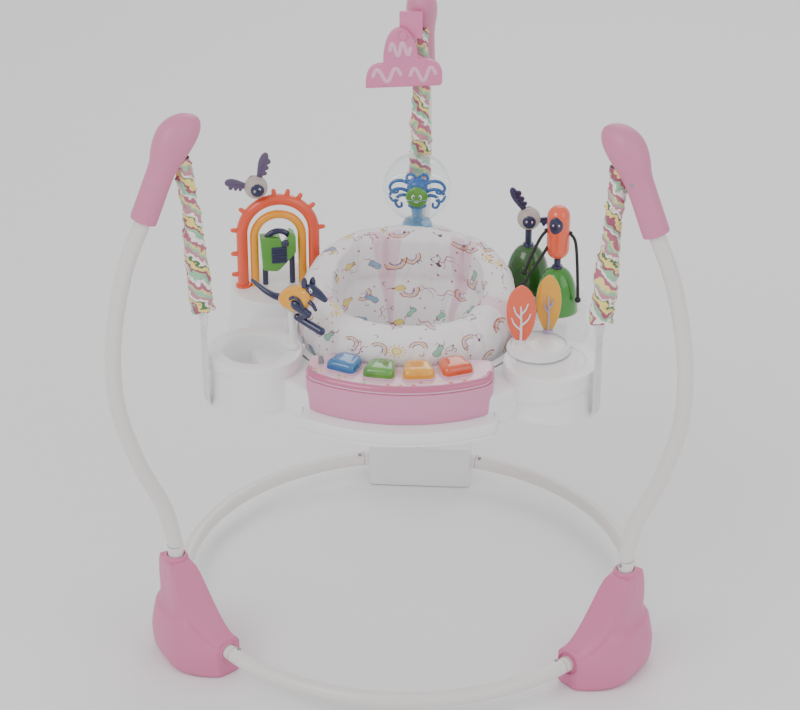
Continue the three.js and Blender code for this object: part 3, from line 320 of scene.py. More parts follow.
def sleeve_finish():
    """Ruched cloth printed with slanting stripes that wander as the gathers pull them."""
    n = Nodes("sleeve_cloth")
    attribute = n.add("ShaderNodeAttribute", attribute_name="wrap")
    turn, along, _ = n.split(Value(n, attribute.outputs["Vector"]))
    wander = n.noise(70, 2) * 0.5
    phase = (turn * 1.0 + along * 0.014 + wander).do("FRACT")
    stripes = n.bands(phase, [
        (0.0, rgb(186, 108, 130)), (0.13, rgb(250, 247, 244)), (0.24, rgb(150, 205, 166)),
        (0.37, rgb(168, 88, 112)),
        (0.46, rgb(247, 226, 130)), (0.58, rgb(90, 124, 92)), (0.63, rgb(250, 246, 240)),
        (0.72, rgb(204, 140, 152)),
        (0.83, rgb(158, 208, 172)), (0.93, rgb(244, 226, 150)),
    ])
    weave = n.noise(1800, 1) * 0.4 + n.noise(260, 2)
    n.bump(weave, 0.5, 0.0008)
    return n.finish(stripes, 0.88, Sheen_Weight=0.35)


finishes["sleeve"] = sleeve_finish()


def print_finish():
    """Printed seat cloth: a drift of small drawn rainbows, suns, sprigs, blobs and dots on white."""
    n = Nodes("seat_cloth")
    x, y, z = n.split(n.place())
    y = y - AXIS_Y
    radius = (x * x + y * y).do("SQRT")
    azimuth = y.do("ARCTAN2", x)
    inner = radius < 0.150
    u = azimuth * (0.165 - inner * 0.045)
    v = z - radius + 0.175 + inner * (1.18 - z * 2)
    wobble = n.noise(90, 2, output=1)
    wx, wy, _ = n.split(wobble)

    def cell(size, shift):
        """Position inside a cell, -0.5 to 0.5, and a random number source for the cell."""
        cu = (u + (wx - 0.5) * 0.004) / size + shift
        cv = (v + (wy - 0.5) * 0.004) / size + shift
        row = cv.do("FLOOR")
        cu = cu + row * 0.5
        column = cu.do("FLOOR")
        luck = [n.random(n.join(column, row, seed)) for seed in (1.0, 2.0, 3.0, 4.0)]
        px = cu - column - 0.5 + (luck[2] - 0.5) * 0.24
        py = cv - row - 0.5 + (luck[3] - 0.5) * 0.24
        turn = (luck[1] - 0.5) * 2.4
        cos, sin = turn.do("COSINE"), turn.do("SINE")
        return px * cos - py * sin, px * sin + py * cos, luck

    def line(value, half_width):
        return value.do("ABSOLUTE") < half_width

    def between(value, low, high):
        return (value > low) * (value < high)

    def motifs(size, shift):
        """(mask, colour) pairs of one layer of drawings."""
        px, py, luck = cell(size, shift)
        reach = (px * px + py * py).do("SQRT")
        angle = py.do("ARCTAN2", px)
        pick = luck[0]
        upper = py > -0.02
        rainbow = between(pick, 0.0, 0.2) * upper
        sun = between(pick, 0.2, 0.34)
        blob = between(pick, 0.34, 0.62)
        sprig = between(pick, 0.62, 0.84)
        lumps = reach + (px * 17 + luck[2] * 9).do("SINE") * 0.035 + (py * 23 + luck[3] * 9).do("SINE") * 0.04
        flat = (px * px * 0.45 + py * py * 2.2).do("SQRT") + (px * 21 + luck[1] * 9).do("SINE") * 0.03
        rays = (angle * 1.91).do("FRACT") < 0.36
        wave = py - (px * 16).do("SINE") * 0.05
        twig = py - px.do("ABSOLUTE") * 0.9 + (px * 30).do("SINE") * 0.03
        inside = between(px.do("ABSOLUTE"), -1.0, 0.26)
        return [
            (rainbow * between(reach, 0.25, 0.285), rgb(176, 90, 96)),
            (rainbow * between(reach, 0.19, 0.225), rgb(240, 190, 120)),
            (rainbow * between(reach, 0.13, 0.165), rgb(150, 110, 150)),
            (sun * between(reach, 0.1, 0.13), rgb(236, 190, 90)),
            (sun * (reach < 0.1), rgb(250, 236, 170)),
            (sun * rays * between(reach, 0.16, 0.24), rgb(240, 200, 110)),
            (blob * (flat < 0.13) * (luck[1] < 0.36), rgb(150, 208, 184)),
            (blob * (flat < 0.13) * between(luck[1], 0.36, 0.66), rgb(246, 226, 120)),
            (blob * (flat < 0.13) * (luck[1] > 0.66), rgb(140, 180, 208)),
            (blob * between(flat, 0.13, 0.148), rgb(120, 70, 96)),
            (blob * line(wave, 0.012) * between(px, 0.16, 0.42), rgb(170, 90, 120)),
            (sprig * line(wave, 0.014) * inside, rgb(176, 84, 122)),
            (sprig * line(twig, 0.012) * inside, rgb(190, 104, 140)),
            (between(pick, 0.84, 1.0) * between(lumps, 0.1, 0.122), rgb(110, 70, 100)),
        ]

    def dots(size, shift):
        px, py, luck = cell(size, shift)
        reach = (px * px + py * py).do("SQRT")
        dot = (reach < 0.1) * (luck[0] < 0.22)
        loop = between(reach, 0.16, 0.23) * between(luck[0], 0.22, 0.32) * (px > -0.06)
        return [(dot, rgb(190, 96, 130)), (loop, rgb(96, 70, 96))]

    turns = 57.29578
    degrees = azimuth * turns
    side = (degrees.do("ABSOLUTE") - 90).do("ABSOLUTE")
    # Two wedges that widen upwards down the deep folds at the back, inside the seat, are painted fold shade in a
    # pink tint; the end panel is a pink cloth panel.
    fold_shade_width = (z - 0.43) * 62
    fold_shade_wedges = [((degrees - seam).do("ABSOLUTE") < fold_shade_width) * inner for seam in (54, 108)]
    end_panel = between(side, 68, 80) * (degrees < 0) * (z > 0.5)
    pink = (fold_shade_wedges[0] + fold_shade_wedges[1] + end_panel).do("MINIMUM", 1.0)
    base = n.mix(n.noise(14, 2), rgb(246, 240, 243), rgb(252, 250, 251))
    colour = n.mix(pink, base, rgb(243, 216, 227))
    for mask, ink in motifs(0.053, 0.0) + motifs(0.06, 0.37) + dots(0.018, 0.2):
        colour = n.mix(mask, colour, ink)
    weave = (u * 9000).do("SINE") * (v * 9000).do("SINE")
    wrinkle = n.noise(34, 3)
    n.bump(weave * 0.25 + wrinkle * 3 + n.noise(140, 2) * 0.8, 0.45, 0.0012)
    return n.finish(colour, 0.9, Sheen_Weight=0.25)


finishes["print"] = print_finish()
finishes["piping"] = plastic("seam_thread", rgb(232, 214, 222), 0.9, 0.6, 2500)


def deck_print():
    """Keyboard's top sheet: pink, with small printed marks between the keys."""
    n = Nodes("piano_sheet")
    x, y, _ = n.split(n.place())
    y = y - AXIS_Y
    reach = (x * x + y * y).do("SQRT")
    wx, wy, _ = n.split(n.noise(160, 2, output=1))
    cu = x / 0.0095 + (wx - 0.5) * 0.8
    cv = reach / 0.0095 + (wy - 0.5) * 0.8
    column, row = cu.do("FLOOR"), cv.do("FLOOR")
    luck, tone = n.random(n.join(column, row, 1.0)), n.random(n.join(column, row, 2.0))
    px, py = cu - column - 0.5, cv - row - 0.5
    size = (px * px + py * py).do("SQRT")
    mark = (size < 0.32) * (luck < 0.5) * (reach > 0.232) * (reach < 0.252)
    ink = n.bands(tone, [(0.0, rgb(226, 96, 60)), (0.25, rgb(240, 180, 60)), (0.5, rgb(130, 190, 110)),
                         (0.7, rgb(200, 70, 120)), (0.86, rgb(240, 214, 224))])
    n.bump(n.noise(700, 2), 0.08)
    return n.finish(n.mix(mark, n.mix(n.noise(12, 2), rgb(236, 190, 208), rgb(240, 200, 215)), ink), 0.26,
                    Coat_Weight=0.5, Coat_Roughness=0.08)


finishes["sheet"] = deck_print()

# ---------------------------------------------------------------- mesh building


def piece(name, parts, finish, body, stands_for=(), smooth=50):
    """A new object from one or more (points in mm about the seat's axis, faces) parts."""
    points, faces, mats, slots = [], [], [], []
    for part in parts:
        own, own_faces, own_finish = (*part, finish)[:3]
        if own_finish not in slots:
            slots.append(own_finish)
        start = len(points)
        points += [tuple(p) for p in own]
        faces += [tuple(i + start for i in face) for face in own_faces]
        mats += [slots.index(own_finish)] * len(own_faces)
    mesh = bpy.data.meshes.new(name)
    mesh.from_pydata([(x / 1000, y / 1000 + AXIS_Y, z / 1000) for x, y, z in points], [], faces)
    for key in slots:
        mesh.materials.append(finishes[key])
    mesh.polygons.foreach_set("material_index", mats)
    edit = bmesh.new()
    edit.from_mesh(mesh)
    bmesh.ops.remove_doubles(edit, verts=edit.verts, dist=1e-6)
    bmesh.ops.recalc_face_normals(edit, faces=edit.faces)
    for face in edit.faces:
        face.smooth = True
    for edge in edit.edges:
        edge.smooth = not (len(edge.link_faces) == 2 and edge.calc_face_angle(0) > rad(smooth))
    edit.to_mesh(mesh)
    edit.free()
    thing = bpy.data.objects.new(name, mesh)
    bpy.context.scene.collection.objects.link(thing)
    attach(thing, body)
    if stands_for:
        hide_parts(*stands_for)
    return thing


def skin(rows, closed=True, caps=True):
    """Faces between rows of points; each row is a ring if closed."""
    count = len(rows[0])
    points = [p for row in rows for p in row]
    last = count if closed else count - 1
    faces = [
        (i * count + j, i * count + (j + 1) % count, (i + 1) * count + (j + 1) % count, (i + 1) * count + j)
        for i in range(len(rows) - 1) for j in range(last)
    ]
    if caps:
        faces += [tuple(range(count))[::-1], tuple((len(rows) - 1) * count + j for j in range(count))]
    return points, faces


def fillet(corners, steps=4):
    """Corner points (a, b, radius) as a line whose corners are rounded."""
    line = []
    for i, (a, b, radius) in enumerate(corners):
        here = Vector((a, b))
        if radius <= 0 or i in (0, len(corners) - 1):
            line.append((a, b))
            continue
        before = Vector(corners[i - 1][:2]) - here
        after = Vector(corners[i + 1][:2]) - here
        cut = min(radius, before.length * 0.49, after.length * 0.49)
        start, end = here + before.normalized() * cut, here + after.normalized() * cut
        for k in range(steps + 1):
            t = k / steps
            point = start * (1 - t) ** 2 + here * 2 * t * (1 - t) + end * t * t
            line.append((point.x, point.y))
    return line


def lathe(profile, centre=(0, 0, 0), sides=72, shape=None, closed=False):
    """A profile of (radius, height) turned about a vertical axis; shape(r, z, angle) may move points."""
    rows = []
    for r, z in profile + ([profile[0]] if closed else []):
        row = []
        for j in range(sides):
            angle = 2 * math.pi * j / sides
            rr, zz = shape(r, z, angle) if shape else (r, z)
            row.append(Vector((centre[0] + rr * math.cos(angle), centre[1] + rr * math.sin(angle),
                               centre[2] + zz)))
        rows.append(row)
    return skin(rows, caps=False)


def frames(path, up=None):
    """Side and up directions carried along a path without twist."""
    tangents = []
    for i in range(len(path)):
        ahead, behind = path[min(i + 1, len(path) - 1)], path[max(i - 1, 0)]
        tangents.append((ahead - behind).normalized())
    normal = Vector(up) if up else tangents[0].orthogonal()
    result = []
    for tangent in tangents:
        normal = (normal - tangent * normal.dot(tangent)).normalized()
        result.append((normal, tangent.cross(normal)))
    return result


def tube(path, radius, sides=20, flat=1.0, up=None, ends="round"):
    """A round or oval rod along a path; radius is a number or a function of 0 to 1 along it."""
    path = [Vector(p) for p in path]
    size = radius if callable(radius) else (lambda t: radius)
    rows = []
    axes = frames(path, up)
    for i, (point, (one, two)) in enumerate(zip(path, axes)):
        r = size(i / (len(path) - 1))
        ring = [2 * math.pi * j / sides for j in range(sides)]
        rows.append([point + one * (r * math.cos(a)) + two * (r * flat * math.sin(a)) for a in ring])
    if ends == "round":
        def dome(row, centre, outward):
            reach = (row[0] - centre).length
            made = []
            for k in range(1, 5):
                lift, shrink = math.sin(k * math.pi / 8), math.cos(k * math.pi / 8)
                made.append([centre + (p - centre) * max(shrink, 0.02) + outward * reach * lift
                             for p in row])
            return made
        start = dome(rows[0], path[0], (path[0] - path[1]).normalized())
        end = dome(rows[-1], path[-1], (path[-1] - path[-2]).normalized())
        rows = start[::-1] + rows + end
    return skin(rows)


def smooth_path(points, steps=12):
    """A Catmull-Rom curve through points."""
    points = [Vector(p) for p in points]
    whole = [2 * points[0] - points[1], *points, 2 * points[-1] - points[-2]]
    path = []
    for i in range(1, len(whole) - 2):
        a, b, c, d = whole[i - 1:i + 3]
        for k in range(steps):
            t = k / steps
            path.append(0.5 * (2 * b + (c - a) * t + (2 * a - 5 * b + 4 * c - d) * t * t
                               + (3 * b - a - 3 * c + d) * t ** 3))
    return path + [points[-1]]


def bezier(a, b, c, d, steps=14):
    a, b, c, d = (Vector(p) for p in (a, b, c, d))
    return [a * (1 - t) ** 3 + 3 * b * t * (1 - t) ** 2 + 3 * c * t * t * (1 - t) + d * t ** 3
            for t in (k / steps for k in range(steps))]


def plate(outline, thickness, bevel, move=None):
    """A flat outline in X-Z made into a plate about Y = 0 with rounded edges."""
    curve = bpy.data.curves.new("outline", "CURVE")
    curve.dimensions = "2D"
    curve.fill_mode = "BOTH"
    curve.extrude = thickness / 2 - bevel
    curve.bevel_depth = bevel
    curve.bevel_resolution = 3
    curve.offset = -bevel
    spline = curve.splines.new("POLY")
    spline.points.add(len(outline) - 1)
    for point, (x, z) in zip(spline.points, outline):
        point.co = (x, z, 0, 1)
    spline.use_cyclic_u = True
    holder = bpy.data.objects.new("outline", curve)
    mesh = bpy.data.meshes.new_from_object(holder)
    points = [Vector((v.co.x, -v.co.z, v.co.y)) for v in mesh.vertices]
    faces = [tuple(p.vertices) for p in mesh.polygons]
    bpy.data.objects.remove(holder)
    bpy.data.curves.remove(curve)
    bpy.data.meshes.remove(mesh)
    return ([move @ p for p in points] if move else points), faces


def ball(centre, rx, ry=None, rz=None, sides=40, rings=24, turn=None):
    """An ellipsoid, finely faced."""
    ry, rz = ry or rx, rz or rx
    rows = []
    for i in range(rings + 1):
        lat = math.pi * i / rings
        rows.append([Vector((rx * math.sin(lat) * math.cos(a), ry * math.sin(lat) * math.sin(a),
                             rz * math.cos(lat)))
                     for a in (2 * math.pi * j / sides for j in range(sides))])
    points, faces = skin(rows, caps=False)
    turn = turn or Matrix()
    return [Vector(centre) + turn @ p for p in points], faces


def moved(part, matrix):
    return [matrix @ Vector(p) for p in part[0]], *part[1:]


def painted(part, finish):
    return part[0], part[1], finish


def spin_z(degrees):
    return Matrix.Rotation(rad(degrees), 4, "Z")


def at(x, y, z):
    return Matrix.Translation((x, y, z))


def melt(thing, voxel, smooth, levels=0):
    """Fuses an object's overlapping parts into one soft skin."""
    remesh = thing.modifiers.new("fuse", "REMESH")
    remesh.mode = "VOXEL"
    remesh.voxel_size = voxel / 1000
    remesh.use_smooth_shade = True
    soft = thing.modifiers.new("soften", "SMOOTH")
    soft.factor = 0.5
    soft.iterations = smooth
    bake(thing)
    for polygon in thing.data.polygons:
        polygon.use_smooth = True


def bake(thing):
    """Applies the object's modifiers to its mesh."""
    view = bpy.context.evaluated_depsgraph_get()
    mesh = bpy.data.meshes.new_from_object(thing.evaluated_get(view))
    old = thing.data
    thing.modifiers.clear()
    thing.data = mesh
    bpy.data.meshes.remove(old)


# ---------------------------------------------------------------- floor ring, feet, uprights and caps

SIDES = {"left": 210, "right": 330, "rear": 90}
RING, RING_Z, TUBE = 375, 45, 12.5
FOOT, FOOT_TOP, FOOT_REACH = 412, 186, 13.5
LEAN = Vector((-math.sin(rad(23.2)), 0, math.cos(rad(23.2))))
ACROSS = Vector((LEAN.z, 0, -LEAN.x))


def polar(radius, azimuth, z):
    return Vector((radius * math.cos(rad(azimuth)), radius * math.sin(rad(azimuth)), z))


def on_cap(along, across=0):
    return Vector((436, 0, 780)) + LEAN * along + ACROSS * across


def snap_button(place, outward):
    """Spring button of a tube joint: a small dome standing out of the tube."""
    turn = outward.to_track_quat("Z", "Y").to_matrix().to_4x4()
    dome = lathe(fillet([(0, 2.4, 0), (3.4, 2.2, 1.4), (3.6, -3, 0), (0, -3, 0)]), sides=20)
    return painted(moved(dome, Matrix.Translation(place) @ turn), "grey")


def joint_line(place, along, radius):
    """The fine dark line where one tube slides into the next."""
    turn = along.to_track_quat("Z", "Y").to_matrix().to_4x4()
    band = lathe([(radius - 1, 0.5), (radius + 0.12, 0.5), (radius + 0.12, -0.5), (radius - 1, -0.5)],
                 sides=40, closed=True)
    return painted(moved(band, Matrix.Translation(place) @ turn), "grey")


def upright(side, azimuth):
    reach = [(0, 101), (0, 150), (0, 192), (0.01, 217), (0.2, 287), (0.6, 367), (0.92, 460), (1, 540),
             (0.91, 622), (0.64, 712)]
    path = smooth_path([(FOOT + 85 * bow, 0, z) for bow, z in reach] + [on_cap(0), on_cap(74)], 10)
    parts = [tube(path, TUBE, 36, ends="flat"),
             joint_line(Vector((FOOT + 0.2, 0, 209)), Vector((0, 0, 1)), TUBE)]
    parts += [snap_button(Vector((FOOT - 3, -TUBE + 0.4, 203)), Vector((-0.2, -1, 0)))]
    turn = spin_z(azimuth)
    piece(f"upright_tube_{side}", [moved(p, turn) for p in parts], "tube", "frame", [f"upright_{side}"])


def foot_section(angle):
    t = abs(angle) / FOOT_REACH
    fall = max(0, (t - 0.24) / 0.76)
    top = RING_Z + 22 + (FOOT_TOP - RING_Z - 22) * (1 - fall) ** 1.7
    blend = lambda first, last, power=1: first + (last - first) * fall ** power
    outer = blend(FOOT + 20, RING + 20, 1.5)
    inner = blend(FOOT - 20, RING - 20, 0.6)
    toe = blend(FOOT + 35, RING + 23, 2.2)
    sole = blend(FOOT + 22, RING + 18, 2.2)
    heel = RING - 22
    return [
        (heel + 6, 1), (sole, 1), (toe - 2, 14), (toe, 0.5 * RING_Z + 22),
        ((toe + outer) / 2 + 1, min(84, 0.8 * top)),
        (outer, min(100, 0.88 * top)), (outer, top - 6), (outer - 6, top), (inner + 6, top),
        (inner, top - 6),
        (min(inner, heel + 12), min(92, 0.84 * top)), (heel, RING_Z + 12), (heel, 8),
    ]


def rounded_loop(points, steps=5):
    """A closed outline with its corners eased by a spline."""
    count = len(points)
    loop = []
    for i in range(count):
        a, b, c, d = (Vector(points[(i + k) % count]) for k in (-1, 0, 1, 2))
        for k in range(steps):
            t = k / steps
            spline = 0.5 * (2 * b + (c - a) * t + (2 * a - 5 * b + 4 * c - d) * t * t + (3 * b - a - 3 * c + d) * t ** 3)
            loop.append(spline * 0.55 + (b * (1 - t) + c * t) * 0.45)
    return loop


def side_foot(side, azimuth):
    rows = []
    cuts = [-1 + 2 * i / 44 for i in range(45)]
    for cut in cuts:
        angle = cut * FOOT_REACH
        rows.append([polar(p[0], azimuth + angle, max(p[1], 0.4))
                     for p in rounded_loop(foot_section(angle))])
    for end, neighbour in ((0, 1), (-1, -2)):
        centre = sum(rows[end], Vector()) / len(rows[end])
        outward = (centre - sum(rows[neighbour], Vector()) / len(rows[neighbour])).normalized()
        edge = [[centre + (p - centre) * s + outward * reach for p in rows[end]]
                for s, reach in ((0.975, 1.4), (0.92, 2.2))]
        rows = edge[::-1] + rows if end == 0 else rows + edge
    collar = lathe(fillet([(14, 192, 0), (17.5, 192, 2), (20.5, 184, 2), (21, 150, 0)]), (FOOT, 0, 0), 48)
    mouths = []
    for end in (-1, 1):
        place = polar(RING, azimuth + end * (FOOT_REACH + 0.25), RING_Z)
        along = polar(1, azimuth + end * (FOOT_REACH + 90), 0)
        ring = lathe(fillet([(13.2, 3, 0), (16.5, 3, 1.5), (18.5, -4, 0)]), sides=40)
        turn = (along * end).to_track_quat("Z", "Y").to_matrix().to_4x4()
        mouths.append(moved(ring, Matrix.Translation(place) @ turn))
    piece(f"foot_shell_{side}", [skin(rows), moved(collar, spin_z(azimuth)), *mouths], "foot", "frame",
          [f"foot_{side}"])


def rear_foot():
    half, depth, mid = 91.5, 52, 393.5
    corners = [(-depth, -half, 12), (depth, -half, 12), (depth, half, 12), (-depth, half, 12)]
    outline = fillet([(0, -half, 0)] + corners[1:3] + corners[3:] + corners[:1] + [(0, -half, 0)])[:-1]
    flip = at(mid, 0, 39) @ Matrix.Rotation(rad(90), 4, "X")
    box = plate(outline, 77, 4, flip)
    socket = lathe(fillet([(13.2, 186, 0), (21, 186, 3), (23, 178, 4), (25, 84, 8), (34, 77, 0)]),
                   (FOOT, 0, 0), 48)
    turn = spin_z(90)
    rim = plate([(x * 0.985, z * 0.985) for x, z in outline], 3, 1.2,
                at(mid, 0, 77.2) @ Matrix.Rotation(rad(90), 4, "X"))
    piece("foot_shell_rear", [moved(p, turn) for p in (box, socket, rim)], "white", "frame", ["foot_rear"])


def ring_tubes():
    for name, (start, end) in {"front": (210, 330), "right": (330, 450), "left": (90, 210)}.items():
        arc = [polar(RING, start + 4.5 + (end - start - 9) * i / 90, RING_Z) for i in range(91)]
        parts = [tube(arc, TUBE, 36, ends="flat")]
        for edge, way in ((start, 1), (end, -1)):
            azimuth = edge + way * (FOOT_REACH + 2.4)
            parts.append(joint_line(polar(RING, azimuth, RING_Z), polar(1, azimuth + 90, 0), TUBE))
            where = polar(RING - 5, azimuth + way * 1.1, RING_Z + TUBE - 1.4)
            parts.append(snap_button(where, Vector((0, 0, 1))))
        piece(f"ring_{name}", parts, "tube", "frame", [f"ring_tube_{name}"])


def cap(side, azimuth):
    """Hood on an upright's end: round sleeve, then a leaning head that widens and flattens."""
    r = 20
    stations = [
        (0, r - 2, 0, 2 - r, r - 2), (2, r, 2, -r, r), (30, r, 30, -r, r), (58, r, 57, -r, r),
        (78, r, 76, -r - 0.5, r + 0.3),
        (90, r + 1, 86, -r - 2, r + 1), (104, r + 4.5, 100, -r - 5, r + 3),
        (120, r + 6.5, 114, -r - 9, r + 5),
        (137, r + 5.5, 130, -r - 13, r + 6), (152, r - 0.5, 145, -r - 15.5, r + 4),
        (163, r - 10, 157, -r - 15.5, r),
        (170.5, r - 21, 167, -r - 12.5, r - 7), (173.6, r - 32, 172.4, -r - 7, r - 14),
        (174, r - 40, 173.6, -r - 1, r - 19),
    ]
    keys = smooth_path([Vector((a, b, w)) for a, b, _, _, w in stations], 7)
    inner = smooth_path([Vector((c, d, 0)) for _, _, c, d, _ in stations], 7)
    rows = []
    for one, two in zip(keys, inner):
        outer_point, inner_point = on_cap(one.x, one.y), on_cap(two.x, two.y)
        mid, half = (outer_point + inner_point) / 2, (outer_point - inner_point) / 2
        row = []
        for j in range(56):
            angle = 2 * math.pi * j / 56
            across = math.copysign(abs(math.cos(angle)) ** 0.9, math.cos(angle))
            wide = math.copysign(abs(math.sin(angle)) ** 0.9, math.sin(angle))
            row.append(mid + half * across + Vector((0, one.z * wide, 0)))
        rows.append(row)
    screw = ball(on_cap(84, 0) + Vector((0, -20.2, 0)), 3.4, 1.2, 3.4, 18, 8)
    lip = lathe(fillet([(13.4, -1.2, 0), (19.6, -1.2, 1), (20.6, 1.5, 1), (20.2, 5, 0)]), sides=56)
    tilt = LEAN.to_track_quat("Z", "Y").to_matrix().to_4x4()
    parts = [skin(rows), painted(screw, "grey"), moved(lip, Matrix.Translation(on_cap(0)) @ tilt)]
    piece(f"cap_hood_{side}", [moved(p, spin_z(azimuth)) for p in parts], "cap", "frame", [f"cap_{side}"])


def ease(t):
    t = min(1, max(0, t))
    return t * t * (3 - 2 * t)


def ruffle(turn, along, seed):
    """Gathers of a ruched sleeve: ridges that run mostly round it and wander."""
    angle = turn * 2 * math.pi
    around = Vector((math.cos(angle) * 1.2, math.sin(angle) * 1.2, along / 9.5 + seed))
    slow = Vector((math.cos(angle) * 0.7, math.sin(angle) * 0.7, along / 40 + seed * 3))
    return 2.3 * noise.noise(around) + 2.6 * noise.noise(slow) + 0.9 * noise.noise(around * 2.3)


def strap(side, azimuth):
    """Coil spring, its ruched cloth sleeve and the woven hanger under it."""
    top, foot = Vector((371, 0, 870)), Vector((348, 0, 616))
    coil = []
    turns = 46
    for i in range(turns * 12 + 1):
        t = i / (turns * 12)
        angle = 2 * math.pi * turns * t
        centre = foot.lerp(top, t * 0.97 + 0.015)
        coil.append(centre + Vector((6.6 * math.cos(angle), 6.6 * math.sin(angle), 0)))
    piece(f"spring_coil_{side}", [moved(tube(coil, 1.1, 6, ends="flat"), spin_z(azimuth))], "steel",
          "frame", [f"spring_{side}"])

    rows, wraps = [], []
    sides, steps, seed = 44, 190, azimuth / 17.0
    for i in range(steps + 1):
        t = i / steps
        along = 254 * (1 - t)
        centre = top.lerp(foot, t)
        sway = Vector((2.2 * noise.noise(Vector((t * 5, seed, 0))),
                       2.2 * noise.noise(Vector((t * 5, seed, 9))), 0))
        size = 12.4 + 4.6 * ease((t - 0.3) * 2.4) + 0.9 * math.sin(t * 9 + seed)
        hem = 2.6 * max(0, 1 - (1 - t) * 30)
        row = []
        for j in range(sides):
            turn = j / sides
            angle = 2 * math.pi * turn
            reach = size + 1.6 * ruffle(turn, along, seed) + hem * math.sin(angle * 5)
            drop = -5 * max(0, 1 - (1 - t) * 24) * max(0, math.sin(angle * 3 + seed))
            row.append(centre + sway + Vector((reach * math.cos(angle), reach * math.sin(angle),
                                               max(drop, -6))))
            wraps.append((turn, along, 0.0))
        rows.append(row)
    middles = [sum(row, Vector()) / sides for row in rows]
    inside = [[mid + (p - mid) * 0.94 for p in row] for mid, row in zip(middles, rows)][::-1]
    wraps += wraps[::-1]
    walls = skin(rows + inside, caps=False)
    hem_faces = [((2 * steps + 1) * sides + j, (2 * steps + 1) * sides + (j + 1) % sides, (j + 1) % sides,
                  j) for j in range(sides)]
    sleeve = piece(f"sleeve_cloth_{side}", [moved((walls[0], walls[1] + hem_faces), spin_z(azimuth))],
                   "sleeve", "frame", [f"sleeve_{side}"], smooth=180)
    layer = sleeve.data.attributes.new("wrap", "FLOAT_VECTOR", "POINT")
    values = np.array(wraps, np.float32).ravel()
    layer.data.foreach_set("vector", values[:len(sleeve.data.vertices) * 3])

    width, thick = 21, 2.4
    line = [(348, 614), (348, 560), (348, 500), (347.5, 470), (346, 455), (341, 446.5), (332, 444),
            (322, 444)]
    path = smooth_path([(x, 0, z) for x, z in line], 8)
    band = []
    for point, (one, _) in zip(path, frames(path, (1, 0, 0))):
        band.append([point + one * a + Vector((0, b, 0)) for a, b in
                     ((thick / 2, -width / 2 + 1), (thick / 2, width / 2 - 1), (0, width / 2),
                      (-thick / 2, width / 2 - 1),
                      (-thick / 2, -width / 2 + 1), (0, -width / 2))])
    buckle = plate(fillet([(0, -13, 0), (14, -13, 4), (14, 13, 4), (-14, 13, 4), (-14, -13, 4),
                           (0, -13, 0)])[:-1], 5, 1.6,
                   at(348, 0, 603) @ spin_z(90))
    stitches = []
    for z in (572, 566):
        for y in range(-8, 9, 4):
            stitches.append(painted(tube([(349.5, y - 1.3, z), (349.7, y, z), (349.5, y + 1.3, z)], 0.4, 6),
                                    "piping"))
    parts = [skin(band), painted(buckle, "white"), *stitches]
    piece(f"hanger_web_{side}", [moved(p, spin_z(azimuth)) for p in parts], "web", "tray",
          [f"hanger_{side}"])


for side_name, side_azimuth in SIDES.items():
    upright(side_name, side_azimuth)
    cap(side_name, side_azimuth)
    strap(side_name, side_azimuth)
side_foot("left", 210)
side_foot("right", 330)
rear_foot()
ring_tubes()


def cloud():
    """Cloud sign with raised wavy squiggles, hung on a pin."""
    outline = bezier((-66, -52), (-65, -22), (-58, -10), (-34, -10)) + bezier((-34, -10), (-32, 70),
        (22, 70), (24, -2), 24)
    outline += bezier((24, -2), (50, -4), (66, -12), (62, -40)) + bezier((62, -40), (63, -48), (60, -52),
        (52, -51))
    lift = at(-27, 325, 836) @ Matrix.Rotation(rad(-3.4), 4, "Y")
    parts = [plate([(p[0], p[1]) for p in outline], 12, 2.6, lift)]
    waves = [((-21, 14), 34, 4), ((-52, -31), 46, 3), ((10, -31), 42, 3)]
    for (x, z), width, humps in waves:
        line = [(x + width * i / 24, -6.1, z + 11.5 * math.sin(math.pi * humps * i / 24) + 2 * i / 24)
                for i in range(25)]
        parts.append(painted(moved(tube(line, 3.3, 12, 0.35, (0, 0, 1)), lift), "squiggle"))
    piece("cloud_sign", parts, "cloud", "cloud", ["cloud_panel"])


cloud()
for node, key in {"cloud_bracket": "cloud", "tray_base": "base"}.items():
    NODES[node].data.materials.clear()
    NODES[node].data.materials.append(finishes[key])

# ---------------------------------------------------------------- tray

BOTTOM, DECK = 448, 500
PODS = {
    "cup": (-230, -130, 74, 525), "spinner": (230, -130, 74, 521), "rainbow": (-217, 106, 80, 522),
    "hills": (206, 106, 80, 506), "globe": (0, 262, 76, 530),
}


def pod(name):
    x, y, radius, top = PODS[name]
    outward = math.atan2(y, x)
    height = top - BOTTOM

    def swoosh(r, z, angle):
        """Hollow facet on the pod's side, below a line that climbs round it."""
        if r < radius - 8:
            return r, z
        swing = (angle - outward + math.pi + 0.9) % (2 * math.pi)
        t = swing / (2 * math.pi)
        line = BOTTOM + 12 + (height - 26) * min(1, max(0, (t - 0.2) / 0.5))
        inside = min(1, max(0, (line - z) / 4)) * min(1, max(0, (z - BOTTOM - 4) / 3))
        fade = min(1, max(0, (0.78 - t) / 0.06)) * min(1, max(0, (t - 0.2) / 0.08))
        return r - 3.2 * inside * fade, z

    wall = [(radius + 4, BOTTOM + 5 + i * (height - 12) / 16, 0) for i in range(17)]
    wall = [(radius + 4 - 4 * i / 16, z, 0) for i, (_, z, _) in enumerate(wall)]
    skirt = [(radius + 1, BOTTOM + 0.5, 0), (radius + 6.5, BOTTOM + 0.5, 1),
             (radius + 6.5, BOTTOM + 3.5, 1), (radius + 4, BOTTOM + 4, 0)]
    if name == "cup":
        roof = [(radius, top, 6), (49, top, 4), (46, top - 8, 3), (43, 482, 5), (0, 479.5, 0)]
    elif name == "spinner":
        roof = [(radius, top, 6), (54, top, 1), (53, top - 1.5, 1), (0, top - 1.5, 0)]
    else:
        roof = [(radius, top, 6), (0, top + 0.3, 0)]
    line = skirt + wall + roof
    profile = fillet(line, 5)
    return lathe(profile, (x, y, 0), 128, swoosh)


